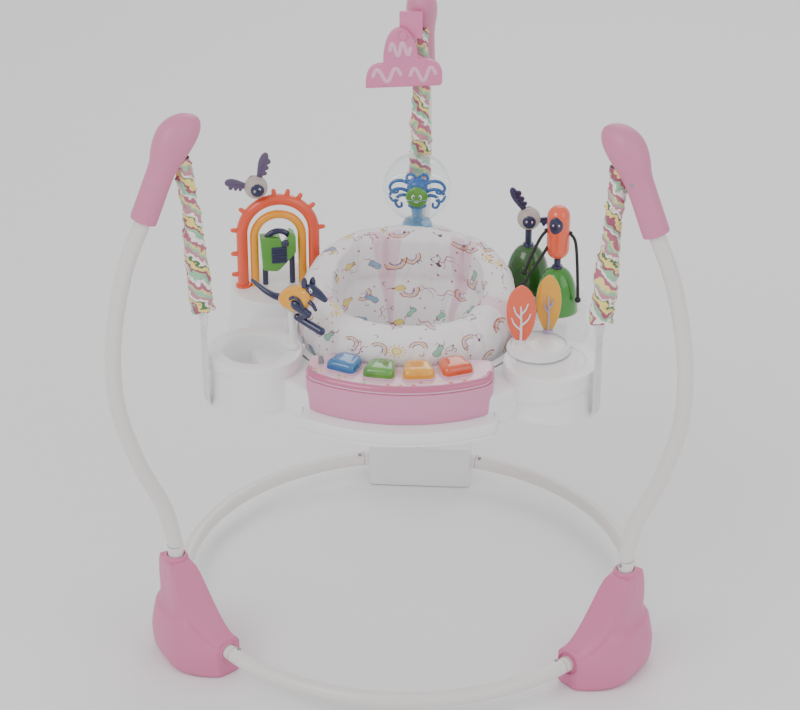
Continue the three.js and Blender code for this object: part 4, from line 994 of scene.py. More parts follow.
def flat_slab(points, low, high, bevel):
    lift = at(0, 0, (low + high) / 2) @ Matrix.Rotation(rad(-90), 4, "X")
    return plate(points, high - low, bevel, lift)


def tray():
    skirt = [(240, BOTTOM + 0.5, 0), (264, BOTTOM + 0.5, 1), (264, BOTTOM + 3.5, 1), (260.5, BOTTOM + 4, 0)]
    deck = fillet(skirt + [(257, DECK, 8), (198, DECK, 3), (196, DECK + 1.5, 1), (191, DECK + 1.5, 1.5),
                           (189, DECK - 3, 1), (189, BOTTOM + 2, 0)], 5)
    parts = [lathe(deck, sides=192)]
    parts += [pod(name) for name in PODS]
    arc = [(288 * math.sin(a), -288 * math.cos(a)) for a in (rad(-31.5 + 63 * i / 30) for i in range(31))]
    outline = fillet([(0, -150, 0), (-152, -150, 2), (*arc[0], 10)],
                     4) + arc[1:-1] + fillet([(*arc[-2], 0), (*arc[-1], 10), (152, -150, 2), (0, -150, 0)],
                                             4)[1:-1]
    grown = [(x * 1.012, y * 1.012) for x, y in outline]
    parts += [flat_slab(outline, BOTTOM + 1, 470, 5), flat_slab(grown, BOTTOM + 0.5, BOTTOM + 3.6, 1.2)]
    for side in (-1, 1):
        ramp = []
        for i in range(16):
            t = i / 15
            azimuth = 270 + side * (34 + 17 * t)
            ramp.append([polar(r, azimuth, z)
                         for r, z in ((196, 498), (244, 471 + 28 * ease(t)), (258, 466 + 28 * ease(t)),
                                      (260, 452))])
        parts.append(skin(ramp, closed=False, caps=False))
    piece("tray_moulding", parts, "tray", "tray", ["tray_shell"], smooth=38)


tray()


def seat_ring():
    profile = fillet([(176.5, 474.5, 0), (186.5, 474.5, 1), (186.5, 501, 0.5), (188.8, 501.5, 1),
                      (188.8, 503.6, 1), (176.5, 503.8, 1), (176.5, 474.5, 0)])
    piece("seat_turntable", [lathe(profile, sides=160)], "tray", "seat", ["seat_ring"])


seat_ring()


def piano_outline(front, inner, half, corner):
    """Plan of the keyboard: front arc, rounded ends, straight shoulders and the curve round the seat."""
    reach = math.asin(half / front)
    arc = [(front * math.sin(a), -front * math.cos(a))
           for a in (-reach + 2 * reach * i / 40 for i in range(41))]
    back_reach = math.acos(150 / inner)
    back = [(inner * math.sin(a), -inner * math.cos(a))
            for a in (back_reach - 2 * back_reach * i / 30 for i in range(31))]
    left = fillet([(back[-1][0] - 10, -151, 0), (-half, -151, 12), (*arc[0], corner), (*arc[5], 0)], 8)
    right = fillet([(*arc[-6], 0), (*arc[-1], corner), (half, -151, 12), (back[0][0] + 10, -151, 0)], 8)
    return left + arc[6:-6] + right + back


def piano():
    body = piano_outline(261.5, 192, 143, 26)
    piece("piano_body", [flat_slab(body, 470.6, 520, 1.5)], "piano", "tray", ["piano_case"])
    top = piano_outline(259, 181, 141, 26)
    piece("piano_top", [flat_slab(top, 520.4, 528, 2.5)], "sheet", "tray", ["piano_deck"])
    rail = [(x, y, 528.6)
            for x, y in piano_outline(256, 192, 138, 26) if math.hypot(x, y) > 206 and y < -170]
    piece("piano_edge", [tube(rail, 5.6, 20, 0.75)], "bead", "tray", ["piano_bead"])
    slider = middle("volume_switch")
    knob = plate(fillet([(0, -4, 0), (4, -4, 1), (4, 4, 1), (-4, 4, 1), (-4, -4, 1), (0, -4, 0)])[:-1], 15,
                 0.8,
                 at(slider.x, slider.y, 530) @ Matrix.Rotation(rad(90), 4, "X"))
    ribs = [plate([(-0.5, -3.4), (0.5, -3.4), (0.5, 3.4), (-0.5, 3.4)], 2.4, 0.3,
                  at(slider.x + dx, slider.y, 538.2) @ Matrix.Rotation(rad(90), 4, "X"))
                  for dx in (-2, 0, 2)]
    piece("volume_knob", [knob, *ribs], "grey", "switch", ["volume_switch"])


piano()


def key(name, place, colour, painted_glow):
    # The glow colour is a painted glow: a lighter tone standing in for light passing through the key.
    finishes[f"key_{name}"] = key_finish(f"key_{name}", colour, painted_glow)
    half, inner, outer = rad(6.5), 206 - 23, 206 + 23
    corners = [(outer, -half), (outer, half), (inner, half), (inner, -half)]
    loop = [(r * math.sin(a), -r * math.cos(a), 13) for r, a in corners]
    mid = ((loop[0][0] + loop[1][0]) / 2, (loop[0][1] + loop[1][1]) / 2)
    outline = [Vector((a, b)) for a, b in fillet([(*mid, 0)] + loop[1:] + loop[:1] + [(*mid, 0)], 9)[:-1]]
    outline = outline[::-1]
    centre = Vector((0, -206))
    rows = []
    for z, scale in ((524, 0.985), (530, 1.0), (534, 0.99), (538, 0.955), (541, 0.9), (543, 0.81),
                     (544.3, 0.68), (544.8, 0.45), (545, 0.2), (545, 0.02)):
        rows.append([Vector((*(centre + (p - centre) * scale), z)) for p in outline])
    cap_part = skin(rows)
    rim = [[Vector((*(centre + (p - centre) * s), z)) for p in outline]
           for s, z in ((1.0, 528.2), (1.035, 528.6), (1.035, 530), (0.99, 530.6))]
    turn = spin_z(place * 16)
    piece(f"key_cap_{name}", [moved(cap_part, turn)], f"key_{name}", f"key_{name}_body", [f"key_{name}"],
          smooth=60)
    collar = piece(f"key_collar_{name}", [moved(skin(rim, caps=False), turn)], "sheet", "tray")
    return collar


key("blue", -1.5, rgb(24, 84, 140), rgb(52, 130, 190))
key("green", -0.5, rgb(54, 120, 40), rgb(110, 180, 70))
key("orange", 0.5, rgb(226, 140, 24), rgb(250, 190, 60))
key("red", 1.5, rgb(206, 52, 24), rgb(244, 120, 60))

# ---------------------------------------------------------------- seat cloth

SEAM_AZIMUTHS = (54, 108, 188, 232, 318, 350)
SWELL_CAP = 7.0            # furthest that the cloth simulation may move a point
TURNTABLE_TOP = 512        # below this the cloth stays inside the turntable
TURNTABLE_LIMIT = 175.2
TRAY_LIMIT = 178.5
CLOTH_TOP = 626


def seat_rows(sides=180):
    """Rings of the seat's padded shell, from the bucket's underside over the rim to its floor."""
    rows = []

    def ring(rule):
        rows.append([polar(*rule(360 * j / sides)) for j in range(sides)])

    def share(azimuth):
        return (1 + math.sin(rad(azimuth))) / 2

    def rim(azimuth):
        return 570 + 46 * share(azimuth) ** 1.6 + 3 * math.sin(rad(azimuth * 3 + 20))

    def thick(azimuth):
        return 34 + 40 * ease(1 - share(azimuth) * 1.1) + 3 * math.sin(rad(azimuth * 5))

    under = [(3, 323), (60, 323), (83, 325), (97, 340), (116, 370), (131, 404), (144, 438), (158, 466),
             (166, 484), (169, 494), (173, 508)]
    for r, z in under:
        ring(lambda a, r=r, z=z: (r, a, z))
    ring(lambda a: (174.5, a, 0.5 * (508 + rim(a) - thick(a) * 0.55)))
    for step in range(13):
        turn = math.pi * step / 12

        def rule(a, turn=turn):
            half, high = thick(a) / 2, thick(a) * 0.5 + 4
            return 175 - half + half * math.cos(turn), a, rim(a) - high + high * math.sin(turn)
        ring(rule)

    def inside(a, depth, lean):
        edge, top = 175 - thick(a), rim(a) - thick(a) * 0.5 - 4
        back = share(a)
        return edge + lean * (1 - back) * 0.5 - 6 * back * depth, a, top + (488 - top) * depth
    ring(lambda a: inside(a, 0.35, 5))
    ring(lambda a: inside(a, 0.7, 8))
    ring(lambda a: (106 + 10 * share(a), a, 478))
    for r, z in [(101, 440), (97, 404), (92, 374), (85, 350), (70, 338), (40, 334), (3, 333)]:
        ring(lambda a, r=r, z=z: (r, a, z))
    return rows


def cloth_relief(points, normals):
    """Depth of folds, gathers and seam grooves at each point of the seat cloth, in mm."""
    out = np.zeros(len(points))
    for i, (x, y, z) in enumerate(points):
        r = math.hypot(x, y)
        azimuth = math.degrees(math.atan2(y, x)) % 360
        inner = 1.0 if normals[i][0] * x + normals[i][1] * y < 0 else 0.0
        up = max(0.0, normals[i][2])
        groove = 0.0
        if z > 400:
            for seam in SEAM_AZIMUTHS:
                off = abs((azimuth - seam + 180) % 360 - 180) * math.pi / 180 * r
                groove += math.exp(-(off / 3.2) ** 2)
                groove -= 0.35 * math.exp(-((off - 7) / 4) ** 2)
                if seam < 120:
                    groove += 2.2 * inner * math.exp(-(off / 8) ** 2)
        gather = 0.5 + 0.5 * math.sin(rad(azimuth) * 46 + 2.4 * noise.noise(Vector((x, y, z)) / 30))
        near_ring = math.exp(-((z - 500) / 13) ** 2) * (1 - inner)
        slow = noise.noise(Vector((x / 42, y / 42, z / 60)))
        crease = noise.noise(Vector((azimuth / 7.5, z / 55, inner * 9)))
        fold = max(0.0, 0.34 - abs(crease)) * 9 * (0.35 + 0.65 * (1 - up))
        out[i] = 2.0 * slow - 2.4 * groove - 1.8 * gather * near_ring - fold * (0.7 if z > 430 else 0.3)
    return out


def seat_cloth():
    shell = skin(seat_rows())
    thing = piece("seat_cloth", [shell], "print", "seat", ["seat_fabric"], smooth=180)
    cutters = []
    for side in (-1, 1):
        azimuth = rad(270 + side * 38)
        way = Vector((math.cos(azimuth), math.sin(azimuth), 0))
        line = [way * r + Vector((0, 0, 394)) for r in (40, 120, 200)]
        points, faces = tube(line, 45, 48, ends="flat")
        mesh = bpy.data.meshes.new("leg_cut")
        mesh.from_pydata([(x / 1000, y / 1000 + AXIS_Y, z / 1000) for x, y, z in points], [], faces)
        edit = bmesh.new()
        edit.from_mesh(mesh)
        bmesh.ops.recalc_face_normals(edit, faces=edit.faces)
        edit.to_mesh(mesh)
        edit.free()
        cutter = bpy.data.objects.new("leg_cut", mesh)
        bpy.context.scene.collection.objects.link(cutter)
        cutters.append(cutter)
        cut = thing.modifiers.new("leg_hole", "BOOLEAN")
        cut.operation = "DIFFERENCE"
        cut.object = cutter
        cut.solver = "EXACT"
    bake(thing)
    for cutter in cutters:
        mesh = cutter.data
        bpy.data.objects.remove(cutter)
        bpy.data.meshes.remove(mesh)
    melt(thing, 5, 4)
    start = read_points(thing)
    swell(thing, 20, 4.0)
    now = read_points(thing)
    shift = now - start
    size = np.linalg.norm(shift, axis=1)
    shift *= (np.minimum(size, SWELL_CAP) / np.maximum(size, 1e-6))[:, None]
    now = clear_of_frame(start + shift)
    write_points(thing, now)
    level = thing.modifiers.new("fine", "SUBSURF")
    level.levels = level.render_levels = 1
    bake(thing)
    now = read_points(thing)
    normals = np.empty(len(now) * 3)
    thing.data.vertices.foreach_get("normal", normals)
    normals = normals.reshape(-1, 3)
    now = clear_of_frame(now + normals * cloth_relief(now, normals)[:, None])
    write_points(thing, now)
    for polygon in thing.data.polygons:
        polygon.use_smooth = True
    binding(thing)


def read_points(thing):
    """Every vertex of a piece, in mm about the seat's axis."""
    points = np.empty(len(thing.data.vertices) * 3)
    thing.data.vertices.foreach_get("co", points)
    points = points.reshape(-1, 3) * 1000
    points[:, 1] -= AXIS_Y * 1000
    return points


def write_points(thing, points):
    metres = points / 1000
    metres[:, 1] += AXIS_Y
    thing.data.vertices.foreach_set("co", metres.ravel())
    thing.data.update()


def clear_of_frame(points):
    """Keeps the cloth inside the turntable and off the tray and keys as the seat turns."""
    radius = np.maximum(np.hypot(points[:, 0], points[:, 1]), 1e-6)
    limit = np.where(points[:, 2] < TURNTABLE_TOP, TURNTABLE_LIMIT, TRAY_LIMIT)
    points[:, :2] *= (np.minimum(radius, limit) / radius)[:, None]
    points[:, 2] = np.minimum(points[:, 2], CLOTH_TOP)
    return points


def swell(thing, frames_to_run, pressure):
    """Inflates a padded piece a little with a short cloth simulation and keeps the result."""
    cloth_mod = thing.modifiers.new("swell", "CLOTH")
    settings = cloth_mod.settings
    settings.use_pressure = True
    settings.uniform_pressure_force = pressure
    settings.effector_weights.gravity = 0
    settings.quality = 5
    settings.mass = 0.3
    settings.tension_stiffness = settings.compression_stiffness = 12
    settings.bending_stiffness = 0.6
    cloth_mod.collision_settings.use_collision = False
    scene = bpy.context.scene
    cloth_mod.point_cache.frame_start, cloth_mod.point_cache.frame_end = 1, frames_to_run
    for frame_number in range(1, frames_to_run + 1):
        scene.frame_set(frame_number)
    bake(thing)
    scene.frame_set(1)


def binding(thing):
    """Edging sewn round each leg hole, laid on the simulated cloth."""
    points = read_points(thing)
    for side, label in ((-1, "left"), (1, "right")):
        azimuth = rad(270 + side * 38)
        way = np.array([math.cos(azimuth), math.sin(azimuth), 0])
        across = np.array([-math.sin(azimuth), math.cos(azimuth), 0])
        local = points - np.array([0, 0, 394])
        depth, wide, high = local @ way, local @ across, local[:, 2]
        angle = np.arctan2(high, wide)
        span = np.hypot(high, wide)
        loop = []
        for j in range(48):
            want = -math.pi + 2 * math.pi * j / 48
            near = (np.abs((angle - want + math.pi) % (2 * math.pi) - math.pi) < 0.12) & (depth > 60) & (span < 62)
            best = depth[near][np.argmin(span[near])] if near.any() else 128
            edge = span[near].min() if near.any() else 45
            loop.append((best, edge - 0.5, want))
        depths = np.array([item[0] for item in loop])
        edges = np.array([item[1] for item in loop])
        for _ in range(4):
            depths = (np.roll(depths, 1) + depths * 2 + np.roll(depths, -1)) / 4
            edges = (np.roll(edges, 1) + edges * 2 + np.roll(edges, -1)) / 4
        path = [Vector(way * d + across * (e * math.cos(w)) + np.array([0, 0, 394 + e * math.sin(w)]))
                for d, e, (_, _, w) in zip(depths, edges, loop)]
        rows = []
        for i, point in enumerate(path):
            along = (path[(i + 1) % 48] - path[i - 1]).normalized()
            out = Vector(way)
            side_way = along.cross(out).normalized()
            rows.append([point + out * 7.5 * math.cos(t) + side_way * 3.2 * math.sin(t)
                         for t in (2 * math.pi * k / 14 for k in range(14))])
        ring_points = [p for row in rows for p in row]
        faces = [(i * 14 + j, i * 14 + (j + 1) % 14, (i + 1) % 48 * 14 + (j + 1) % 14,
                  (i + 1) % 48 * 14 + j)
                 for i in range(48) for j in range(14)]
        piece(f"leg_binding_{label}", [(ring_points, faces)], "lilac", "seat",
              smooth=180)


seat_cloth()

# ---------------------------------------------------------------- toys

RAINBOW = at(-217, 106, 0) @ spin_z(13)


def arch_path(radius, top, foot=522.4):
    spring = top - radius
    leg = [(-radius, 0, foot + (spring - foot) * i / 8) for i in range(8)]
    bow = [(radius * math.cos(a), 0, spring + radius * math.sin(a))
           for a in (math.pi - math.pi * i / 48 for i in range(49))]
    return leg + bow + [(radius, 0, z) for _, _, z in leg[::-1]]


def rainbow():
    radius, size, top = 58.5, 9.3, 672
    spring = top - radius
    parts = [tube(arch_path(radius, top), size, 28, ends="flat")]
    for angle in (4, 38, 59, 76, 94, 143, 173):
        out = Vector((math.cos(rad(angle)), 0, math.sin(rad(angle))))
        root = Vector((0, 0, spring)) + out * (radius + size - 3)
        parts.append(tube([root, root + out * 5, root + out * 9], lambda t: 4.3 - 0.5 * t, 18))
    for drop in (33, 70):
        root = Vector((-radius - size + 3, 0, spring - drop))
        parts.append(tube([root, root + Vector((-5, 0, 0)), root + Vector((-9, 0, 0))],
                          lambda t: 4.3 - 0.5 * t, 18))
    out = Vector((math.cos(rad(112)), 0, math.sin(rad(112))))
    parts.append(tube([Vector((0, 0, spring)) + out * r for r in (64, 70, 92)], 2.9, 14))
    for x in (-radius, radius):
        parts.append(lathe(fillet([(0, 526, 0), (12.5, 526, 1.5), (13, 522.4, 0)]), (x, 0, 0), 36))
    piece("rainbow_outer", [moved(p, RAINBOW) for p in parts], "red", "tray", ["arch_outer"])
    piece("rainbow_middle", [moved(tube(arch_path(39, 646), 6.9, 24, ends="flat"), RAINBOW)], "orange",
          "tray", ["arch_middle"])
    piece("rainbow_inner", [moved(tube(arch_path(22, 616), 4.7, 20, ends="flat"), RAINBOW)], "navy", "tray",
          ["arch_inner"])


def clicker():
    side, spring = 26.8, 594
    lift = RAINBOW @ at(0, 0, spring)
    outline = fillet([(-12, 14, 0), (2, 14, 3), (9, -6, 4), (side - 8, 22, 3), (side + 1, 16, 3),
                      (side + 1, -14, 4), (-2, -46, 6),
                      (-side, -42, 4), (-side - 3, 14, 4), (-12, 14, 0)])[:-1]
    piece("clicker_case", [plate(outline, 26, 2.5, lift)], "green", "tray", ["clicker_frame"])
    ribs = []
    for i in range(6):
        z = -27 + i * 4.6
        ribs.append(tube([(-11, -13.4, z), (0, -13.4, z), (11, -13.4, z)], 1.9, 12))
    panel = plate(fillet([(0, -30, 0), (12.5, -30, 3), (12.5, -1, 3), (-12.5, -1, 3), (-12.5, -30, 3),
                          (0, -30, 0)])[:-1], 2, 0.8,
                  lift @ at(0, -13, 0))
    knob = ball((10, -12, 4), 6.5, 4.5, 6.5, 28, 16)
    parts = [panel] + [moved(r, lift) for r in ribs] + [moved(knob, lift)]
    piece("clicker_panel", parts, "navy", "tray")
    drum = []
    for i in range(12):
        a = 2 * math.pi * i / 12
        y, z = 11 * math.cos(a), 11 * math.sin(a)
        drum.append(tube([(-9.5, y, z), (0, y, z), (9.5, y, z)], 1.7, 10))
    drum.append(tube([(-10, 0, 0), (0, 0, 0), (10, 0, 0)], 10.5, 40, ends="flat"))
    drum.append(tube([(-13.5, 0, 0), (0, 0, 0), (13.5, 0, 0)], 2, 16, ends="flat"))
    wheel = lift @ at(0, 0, -16)
    piece("clicker_drum", [moved(p, wheel) for p in drum], "navy", "roller", ["clicker_roller"])


def face(centre, size, tone="navy", eyes=1.0, squash=1.0):
    """A plain round face plate that looks towards -Y: two eyes and a small mouth."""
    x, y, z = centre
    parts = [painted(ball(centre, size, size * 0.3, size * squash, 32, 16), tone)]
    front = y - size * 0.3
    for s in (-1, 1):
        eye = ball((x + s * size * 0.36 * eyes, front + 0.9, z + size * 0.12), size * 0.19, 0.9,
                   size * 0.25, 20, 10)
        parts.append(painted(eye, "ink"))
        pupil = ball((x + s * size * 0.36 * eyes, front + 0.2, z + size * 0.1), size * 0.08, 0.7,
                     size * 0.12, 14, 8)
        parts.append(painted(pupil, "rubber"))
    smile = [(x + size * 0.16 * math.sin(a), front + 0.8, z - size * 0.28 - size * 0.1 * math.cos(a))
             for a in (rad(-70 + 20 * i) for i in range(8))]
    parts.append(painted(tube(smile, size * 0.035 + 0.15, 8), "ink"))
    return parts


def wing_outline(length, width):
    """Scalloped wing that reaches along +X: smooth upper edge, three lobes below."""
    top = bezier((-4, width * 0.2), (length * 0.3, width * 0.3), (length * 0.6, width * 0.75),
                 (length * 0.92, width * 0.34), 16)
    tip = bezier((length * 0.92, width * 0.34), (length * 1.06, width * 0.1), (length * 1.0, -width * 0.25),
                 (length * 0.8, -width * 0.3), 10)
    lobes = []
    stops = [0.8, 0.55, 0.32, 0.12]
    for a, b in zip(stops, stops[1:]):
        lobes += bezier((length * a, -width * 0.3), (length * (a - 0.04), -width * 0.75),
                        (length * (b + 0.06), -width * 0.75), (length * b, -width * 0.32), 8)
    return [(p[0], p[1]) for p in top + tip + lobes] + [(length * 0.12, -width * 0.32), (-4, -width * 0.24)]


def winged_ball(name, node, body, lift, wings, wing_tone):
    parts = [painted(ball((0, 0, 0), 19, sides=56, rings=36), "ball")]
    parts += face((1, -17.6, 1), 11)
    parts.append(painted(lathe(fillet([(3.7, 19.4, 0), (6.5, 19.2, 1.5), (7, 16, 0)]), sides=24), "ball"))
    for angle, length, width, flip in wings:
        turn = Matrix.Rotation(rad(-angle), 4, "Y") @ at(16.5, 0, 0) @ Matrix.Scale(flip, 4, (0, 0, 1))
        parts.append(painted(plate(wing_outline(length + 3, width), 5, 1.8, turn), wing_tone))
        vein = tube([(2, -2.6, 0), (length * 0.4, -2.8, 1), (length * 0.8, -2.6, 0.5)], 0.7, 8)
        parts.append(painted(moved(vein, turn), wing_tone))
    piece(name, [(*moved(p[:2], lift), *p[2:]) for p in parts], "ball", body, [node])


def hills():
    shape = [(0, 1), (0.2, 0.985), (0.4, 0.94), (0.58, 0.86), (0.74, 0.73), (0.86, 0.57), (0.94, 0.38),
             (0.985, 0.18), (1, 0)]
    for name, x, y, radius, height, stalk, tone in (
        ("back", 188, 144, 37, 80, 26, "hill_dark"), ("front", 236, 72, 35, 76, 14, "hill"),
    ):
        profile = [(r * radius, z * height) for r, z in shape]
        profile = [(p.x, p.y)
                   for p in (Vector(q) for q in [(a[0], a[1])
                                                 for a in smooth_path([(r, z, 0) for r, z in profile], 4)])]
        scale = Matrix.Scale(33 / radius, 4, (0, 1, 0))
        place = at(x, y, 506.4)
        mound = moved(moved(lathe(profile, sides=64), scale), place)
        post = painted(moved(lathe(fillet([(0, height + stalk, 0), (5.5, height + stalk, 1.2),
                                           (5.5, height - 8, 0)]), sides=28), place), "navy")
        collar = painted(moved(lathe(fillet([(5.6, height + 3, 0), (8.5, height + 2, 1),
                                             (9.5, height - 3, 0)]), sides=28), place), "navy")
        pin = painted(moved(lathe([(0, height + stalk + 19), (3, height + stalk + 19),
                                   (3, height + stalk - 2)], sides=20), place), "navy")
        extra = []
        if name == "back":
            for s in (-1, 0, 1):
                line = [(s * 2 + s * 7 * t, -31 + 10 * t * t - abs(s) * t, 30 + 26 * t)
                        for t in (i / 8 for i in range(9))]
                extra.append(painted(moved(tube(line, lambda t: 1.7 - 0.9 * t, 10), place), "hill"))
        piece(f"hill_mound_{name}", [mound, post, collar, pin, *extra], tone, "tray", [f"hill_{name}"])


def figure():
    base = at(236, 72, 506.8 + 76 + 14)
    radius, length = 18.3, 92
    profile = [(radius * math.sin(a), length - radius + radius * math.cos(a))
               for a in (math.pi / 2 * i / 12 for i in range(13))]
    profile += [(radius * math.cos(a), radius - radius * math.sin(a))
                for a in (math.pi / 2 * i / 12 for i in range(13))]
    parts = [lathe(profile, sides=56)]
    parts += [(*moved(p[:2], at(-4, -radius + 1.4, length * 0.7)), *p[2:])
              for p in face((0, 0, 0), 11, squash=1.35)]
    for x, z in ((17.2, 46), (-17.2, 50), (-14, 20)):
        socket = tube([(x * 0.9, -3, z), (x * 1.02, -3, z), (x * 1.12, -3, z)], 3.6, 18)
        parts.append(painted(socket, "rubber"))
    piece("figure_body", [(*moved(p[:2], base), *p[2:]) for p in parts], "bean", "figure", ["bean"])
    gap = 21.4
    limbs = {
        "arm_right": [(gap - 3, -2, 46), (gap + 6, -9, 34), (gap + 10, -19, 0), (gap + 13, -23, -62)],
        "arm_left": [(3 - gap, -4, length * 0.55), (-gap - 9, -12, 36), (-gap - 31, -27, -13)],
        "leg_left": [(5 - gap, -5, length * 0.24), (-gap - 8, -18, 4), (-gap - 34, -34, -34)],
    }
    for name, points in limbs.items():
        rod = tube(smooth_path(points, 12), 2.5, 16)
        knob = ball(points[-1], 5, sides=24, rings=16)
        piece(f"figure_{name}", [moved(p, base) for p in (rod, knob)], "rubber", "figure", [f"bean_{name}"])


def globe_toy():
    place = at(0, 262, 0)
    outer = [(57 * math.sin(a), 630 + 57 * math.cos(a))
             for a in (math.pi * 0.938 * i / 44 for i in range(45))]
    inner = [(55.6 * math.sin(a), 630 + 55.6 * math.cos(a))
             for a in (math.pi * 0.936 * i / 44 for i in range(44, -1, -1))]
    seam = painted(lathe([(57.3, 630.5), (57.3, 629.5), (56, 629.5), (56, 630.5)], sides=96, closed=True),
                   "glass")
    piece("globe_shell", [moved(lathe(outer + inner, sides=96), place), (*moved(seam[:2], place), "glass")],
          "glass", "ball", ["globe"])
    stand = fillet([(0, 595.5, 0), (11.5, 595.5, 2), (9, 579, 3), (9, 570, 2), (24, 566, 3), (32, 540, 6),
                    (36, 534, 3), (36, 530.4, 0)], 5)
    piece("globe_post", [moved(lathe(stand, sides=56), place)], "sky", "tray", ["globe_stand"])

    seat = 596.6
    skirt = lathe(fillet([(0, seat + 26, 0), (10.5, seat + 24, 4), (15, seat + 2, 3), (16, seat, 0)], 5),
                  sides=40)
    body = ball((0, 0, seat + 32), 17.6, 14.6, 18.6)
    parts = [skirt, body]
    arms = [(6, 1), (-9, 1), (-20, 0.8)]
    for side in (-1, 1):
        for lift, reach in arms:
            bend = [(8, 0, lift), (25 * reach, 0, lift + 8), (39 * reach, 0, lift + 6),
                    (46 * reach, 0, lift - 4), (41 * reach, -1, lift - 13),
                    (33 * reach, -1, lift - 12), (33 * reach, -1, lift - 6)]
            path = smooth_path([(side * x, y, z + seat + 30) for x, y, z in bend], 8)
            parts.append(tube(path, lambda t: 3.2 - 1.2 * t, 12))
        loop = [(2, 0, 14), (5, 0, 23), (14, 0, 25), (18, 0, 18), (13, 0, 13), (8, 0, 16)]
        parts.append(tube(smooth_path([(side * x, y, z + seat + 31) for x, y, z in loop], 8), 2.5, 12))
    head = [(*p[:2], "lime" if p[2] == "navy" else p[2]) for p in face((0, -15, seat + 21), 18.5, eyes=0.8)]
    piece("octopus_body", [(*moved(p[:2], place), *p[2:]) for p in parts + head], "blue", "tray",
          ["octopus"])


def branch(points, size, tone, lift):
    return painted(moved(tube(smooth_path(points, 6), lambda t: size * (1 - 0.35 * t), 12, 0.6, (0, 1, 0)),
                         lift), tone)


def spinner():
    x, y, base = 210, -98, 525.0
    place = at(x, y, base)
    dome = fillet([(0, 12, 0), (15, 11.5, 4), (29, 9.3, 6), (41, 5.2, 6), (50, 0.6, 2), (50, -3, 1),
                   (0, -3, 0)], 5)
    hub = lathe([(0, 0), (4.9, 0), (4.9, -8.8), (0, -8.8)], sides=24)
    ridge = lathe(fillet([(44, 5.2, 0), (46.5, 4.4, 0.8), (47.5, 2.2, 0)]), sides=96)
    piece("spinner_plate", [moved(p, place) for p in (lathe(dome, sides=96), hub, ridge)], "tray",
          "spinner", ["spinner_dome"])
    for name, half, height, dx, dy, tone, tree in (("orange", 24.5, 97, -28, -6, "leaf_orange", "coral"),
                                                   ("yellow", 20.5, 97, 14, 33, "leaf_yellow", "lilac")):
        lift = at(x + dx, y + dy, base + 12)
        right = bezier((0, -6), (half * 1.15, height * 0.16), (half * 1.36, height * 0.9), (0, height), 24)
        left = bezier((0, height), (-half * 1.36, height * 0.9), (-half * 1.15, height * 0.16), (0, -6), 24)
        blade = plate([(p[0], p[1]) for p in right + left], 5, 2.1, lift)
        foot = painted(moved(lathe(fillet([(0, 3.5, 0), (8, 3, 2), (8.5, -8, 0)]), sides=32), lift), tree)
        front = -3.6
        twigs = [branch([(0, front, -6), (0.5, front, height * 0.3), (-0.5, front, height * 0.62)], 3.6,
                        tree, lift)]
        spread = 0.58 * half
        arms = [(0.22, -1, 0.42), (0.3, 1, 0.5), (0.42, -0.8, 0.62),
                (0.5, 0.7, 0.68)] if name == "orange" else [(0.34, -0.6, 0.5), (0.42, 0.6, 0.56)]
        for start, way, end in arms:
            mid = (start + end) / 2
            points = [(0, front, height * start), (way * spread * 0.7, front, height * mid),
                      (way * spread, front, height * end)]
            twigs.append(branch(points, 2.8, tree, lift))
        piece(f"spinner_leaf_{name}", [blade, foot, *twigs], tone, "spinner", [f"leaf_{name}"])


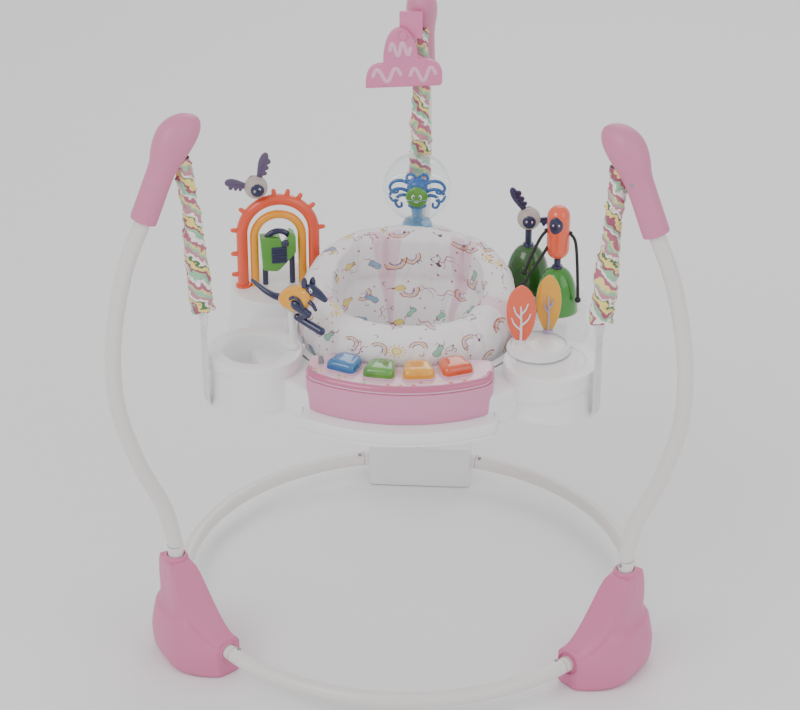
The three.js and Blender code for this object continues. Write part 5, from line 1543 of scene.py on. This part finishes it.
def hopper():
    lift = at(-160, -130, 615) @ spin_z(-26) @ Matrix.Scale(1.08, 4)
    trunk = bezier((-30, -4), (-26, 14), (-4, 20), (14, 20)) + bezier((14, 20), (26, 20), (26, 6), (22, -2))
    trunk += bezier((22, -2), (18, -14), (4, -22), (-8, -20)) + bezier((-8, -20), (-22, -19), (-30, -14),
        (-30, -4))
    body = plate([(p[0], p[1]) for p in trunk], 24, 8, lift)
    neck = tube(smooth_path([(10, 0, 8), (18, 0, 14), (26, 0, 17)], 5), lambda t: 9 - 2 * t, 20)
    muzzle = tube(smooth_path([(22, 0, 19), (34, 0, 14), (44, 0, 8)], 6), lambda t: 8.6 - 4.2 * t, 20)
    ears = []
    for dx, dy in ((13, -4), (22, 4)):
        shape = [(p[0] + dx, p[1] + 20)
                 for p in bezier((-3, 0), (-7, 8), (-3, 16), (1, 17)) + bezier((1, 17), (6, 13), (5, 5),
                     (3, 0))]
        ears.append(plate(shape, 4, 1.4, at(0, dy, 0)))
    tail = tube(smooth_path([(-20, 0, -4), (-36, 0, -7), (-54, 0, -3), (-68, 0, 4), (-77, 0, 9)], 8),
                lambda t: 6.4 - 3.9 * t, 18)
    thigh = tube(smooth_path([(2, -9, -6), (12, -9, -12), (20, -8, -18)], 6), lambda t: 8.5 - 3 * t, 20)
    shin = tube(smooth_path([(21, -7, -17), (10, -6, -26), (2, -5, -30)], 6), lambda t: 5 - 0.5 * t, 16)
    foot = tube(smooth_path([(1, -5, -28), (18, -5, -34), (40, -5, -41)], 6), lambda t: 5.4 + 0.8 * t, 18,
                0.8)
    arm = tube(smooth_path([(-6, -12.5, 2), (-1, -13.5, 6), (8, -13.5, 5), (13, -13, -2), (16, -12.5, -8)],
                           6), 2.3, 14)
    hand = tube(smooth_path([(22, -6, 2), (29, -7, -2), (33, -7, -8)], 5), lambda t: 3.4 - 0.8 * t, 14)
    navy = [neck, muzzle, *ears, tail, thigh, shin, foot, arm, hand]
    eyes = []
    for dy in (-7.2, 7.2):
        eyes += [painted(moved(ball((25, dy, 20), 3.2, 1.2, 3.6, 18, 10), lift), "ink"),
                 painted(moved(ball((25.6, dy * 1.12, 20), 1.3, 0.8, 1.6, 12, 8), lift), "rubber")]
    piece("hopper_toy", [body] + [painted(moved(p, lift), "navy") for p in navy] + eyes, "amber", "hopper",
          ["kangaroo"])
    stalk = fillet([(0, 610, 0), (3, 609.5, 1), (3, 590, 0), (6, 590, 1), (6, 535, 2), (10, 530, 2),
                    (10, 525.4, 0)])
    piece("hopper_stalk", [lathe(stalk, (-170.79, -124.74, 0), 32)], "white", "tray", ["kangaroo_stalk"])


rainbow()
clicker()
ball_lift = RAINBOW @ at(0, 0, 613.5) @ Matrix.Rotation(rad(-22), 4, "Y") @ at(0, 0, 89)
winged_ball("ball_on_arch", "arch_bird", "arch_ball", ball_lift, [(146, 32, 17, -1), (50, 42, 17, 1)],
            "wing")
hills()
winged_ball("ball_on_hill", "hill_bird", "hill_ball", at(188, 144, 632.2),
            [(118, 42, 16, 1), (-6, 36, 16, 1)], "navy")
figure()
globe_toy()
spinner()
hopper()

# ---------------------------------------------------------------- floor and finish

floor_mesh = bpy.data.meshes.new("studio_floor")
floor_mesh.from_pydata([(-6, -6, -0.0005), (6, -6, -0.0005), (6, 9, -0.0005), (-6, 9, -0.0005)], [],
                       [(0, 1, 2, 3)])
floor = bpy.data.objects.new("studio_floor", floor_mesh)
floor_nodes = Nodes("studio_floor")
floor_mesh.materials.append(floor_nodes.finish((0.9, 0.9, 0.9), 0.7))
bpy.context.scene.collection.objects.link(floor)
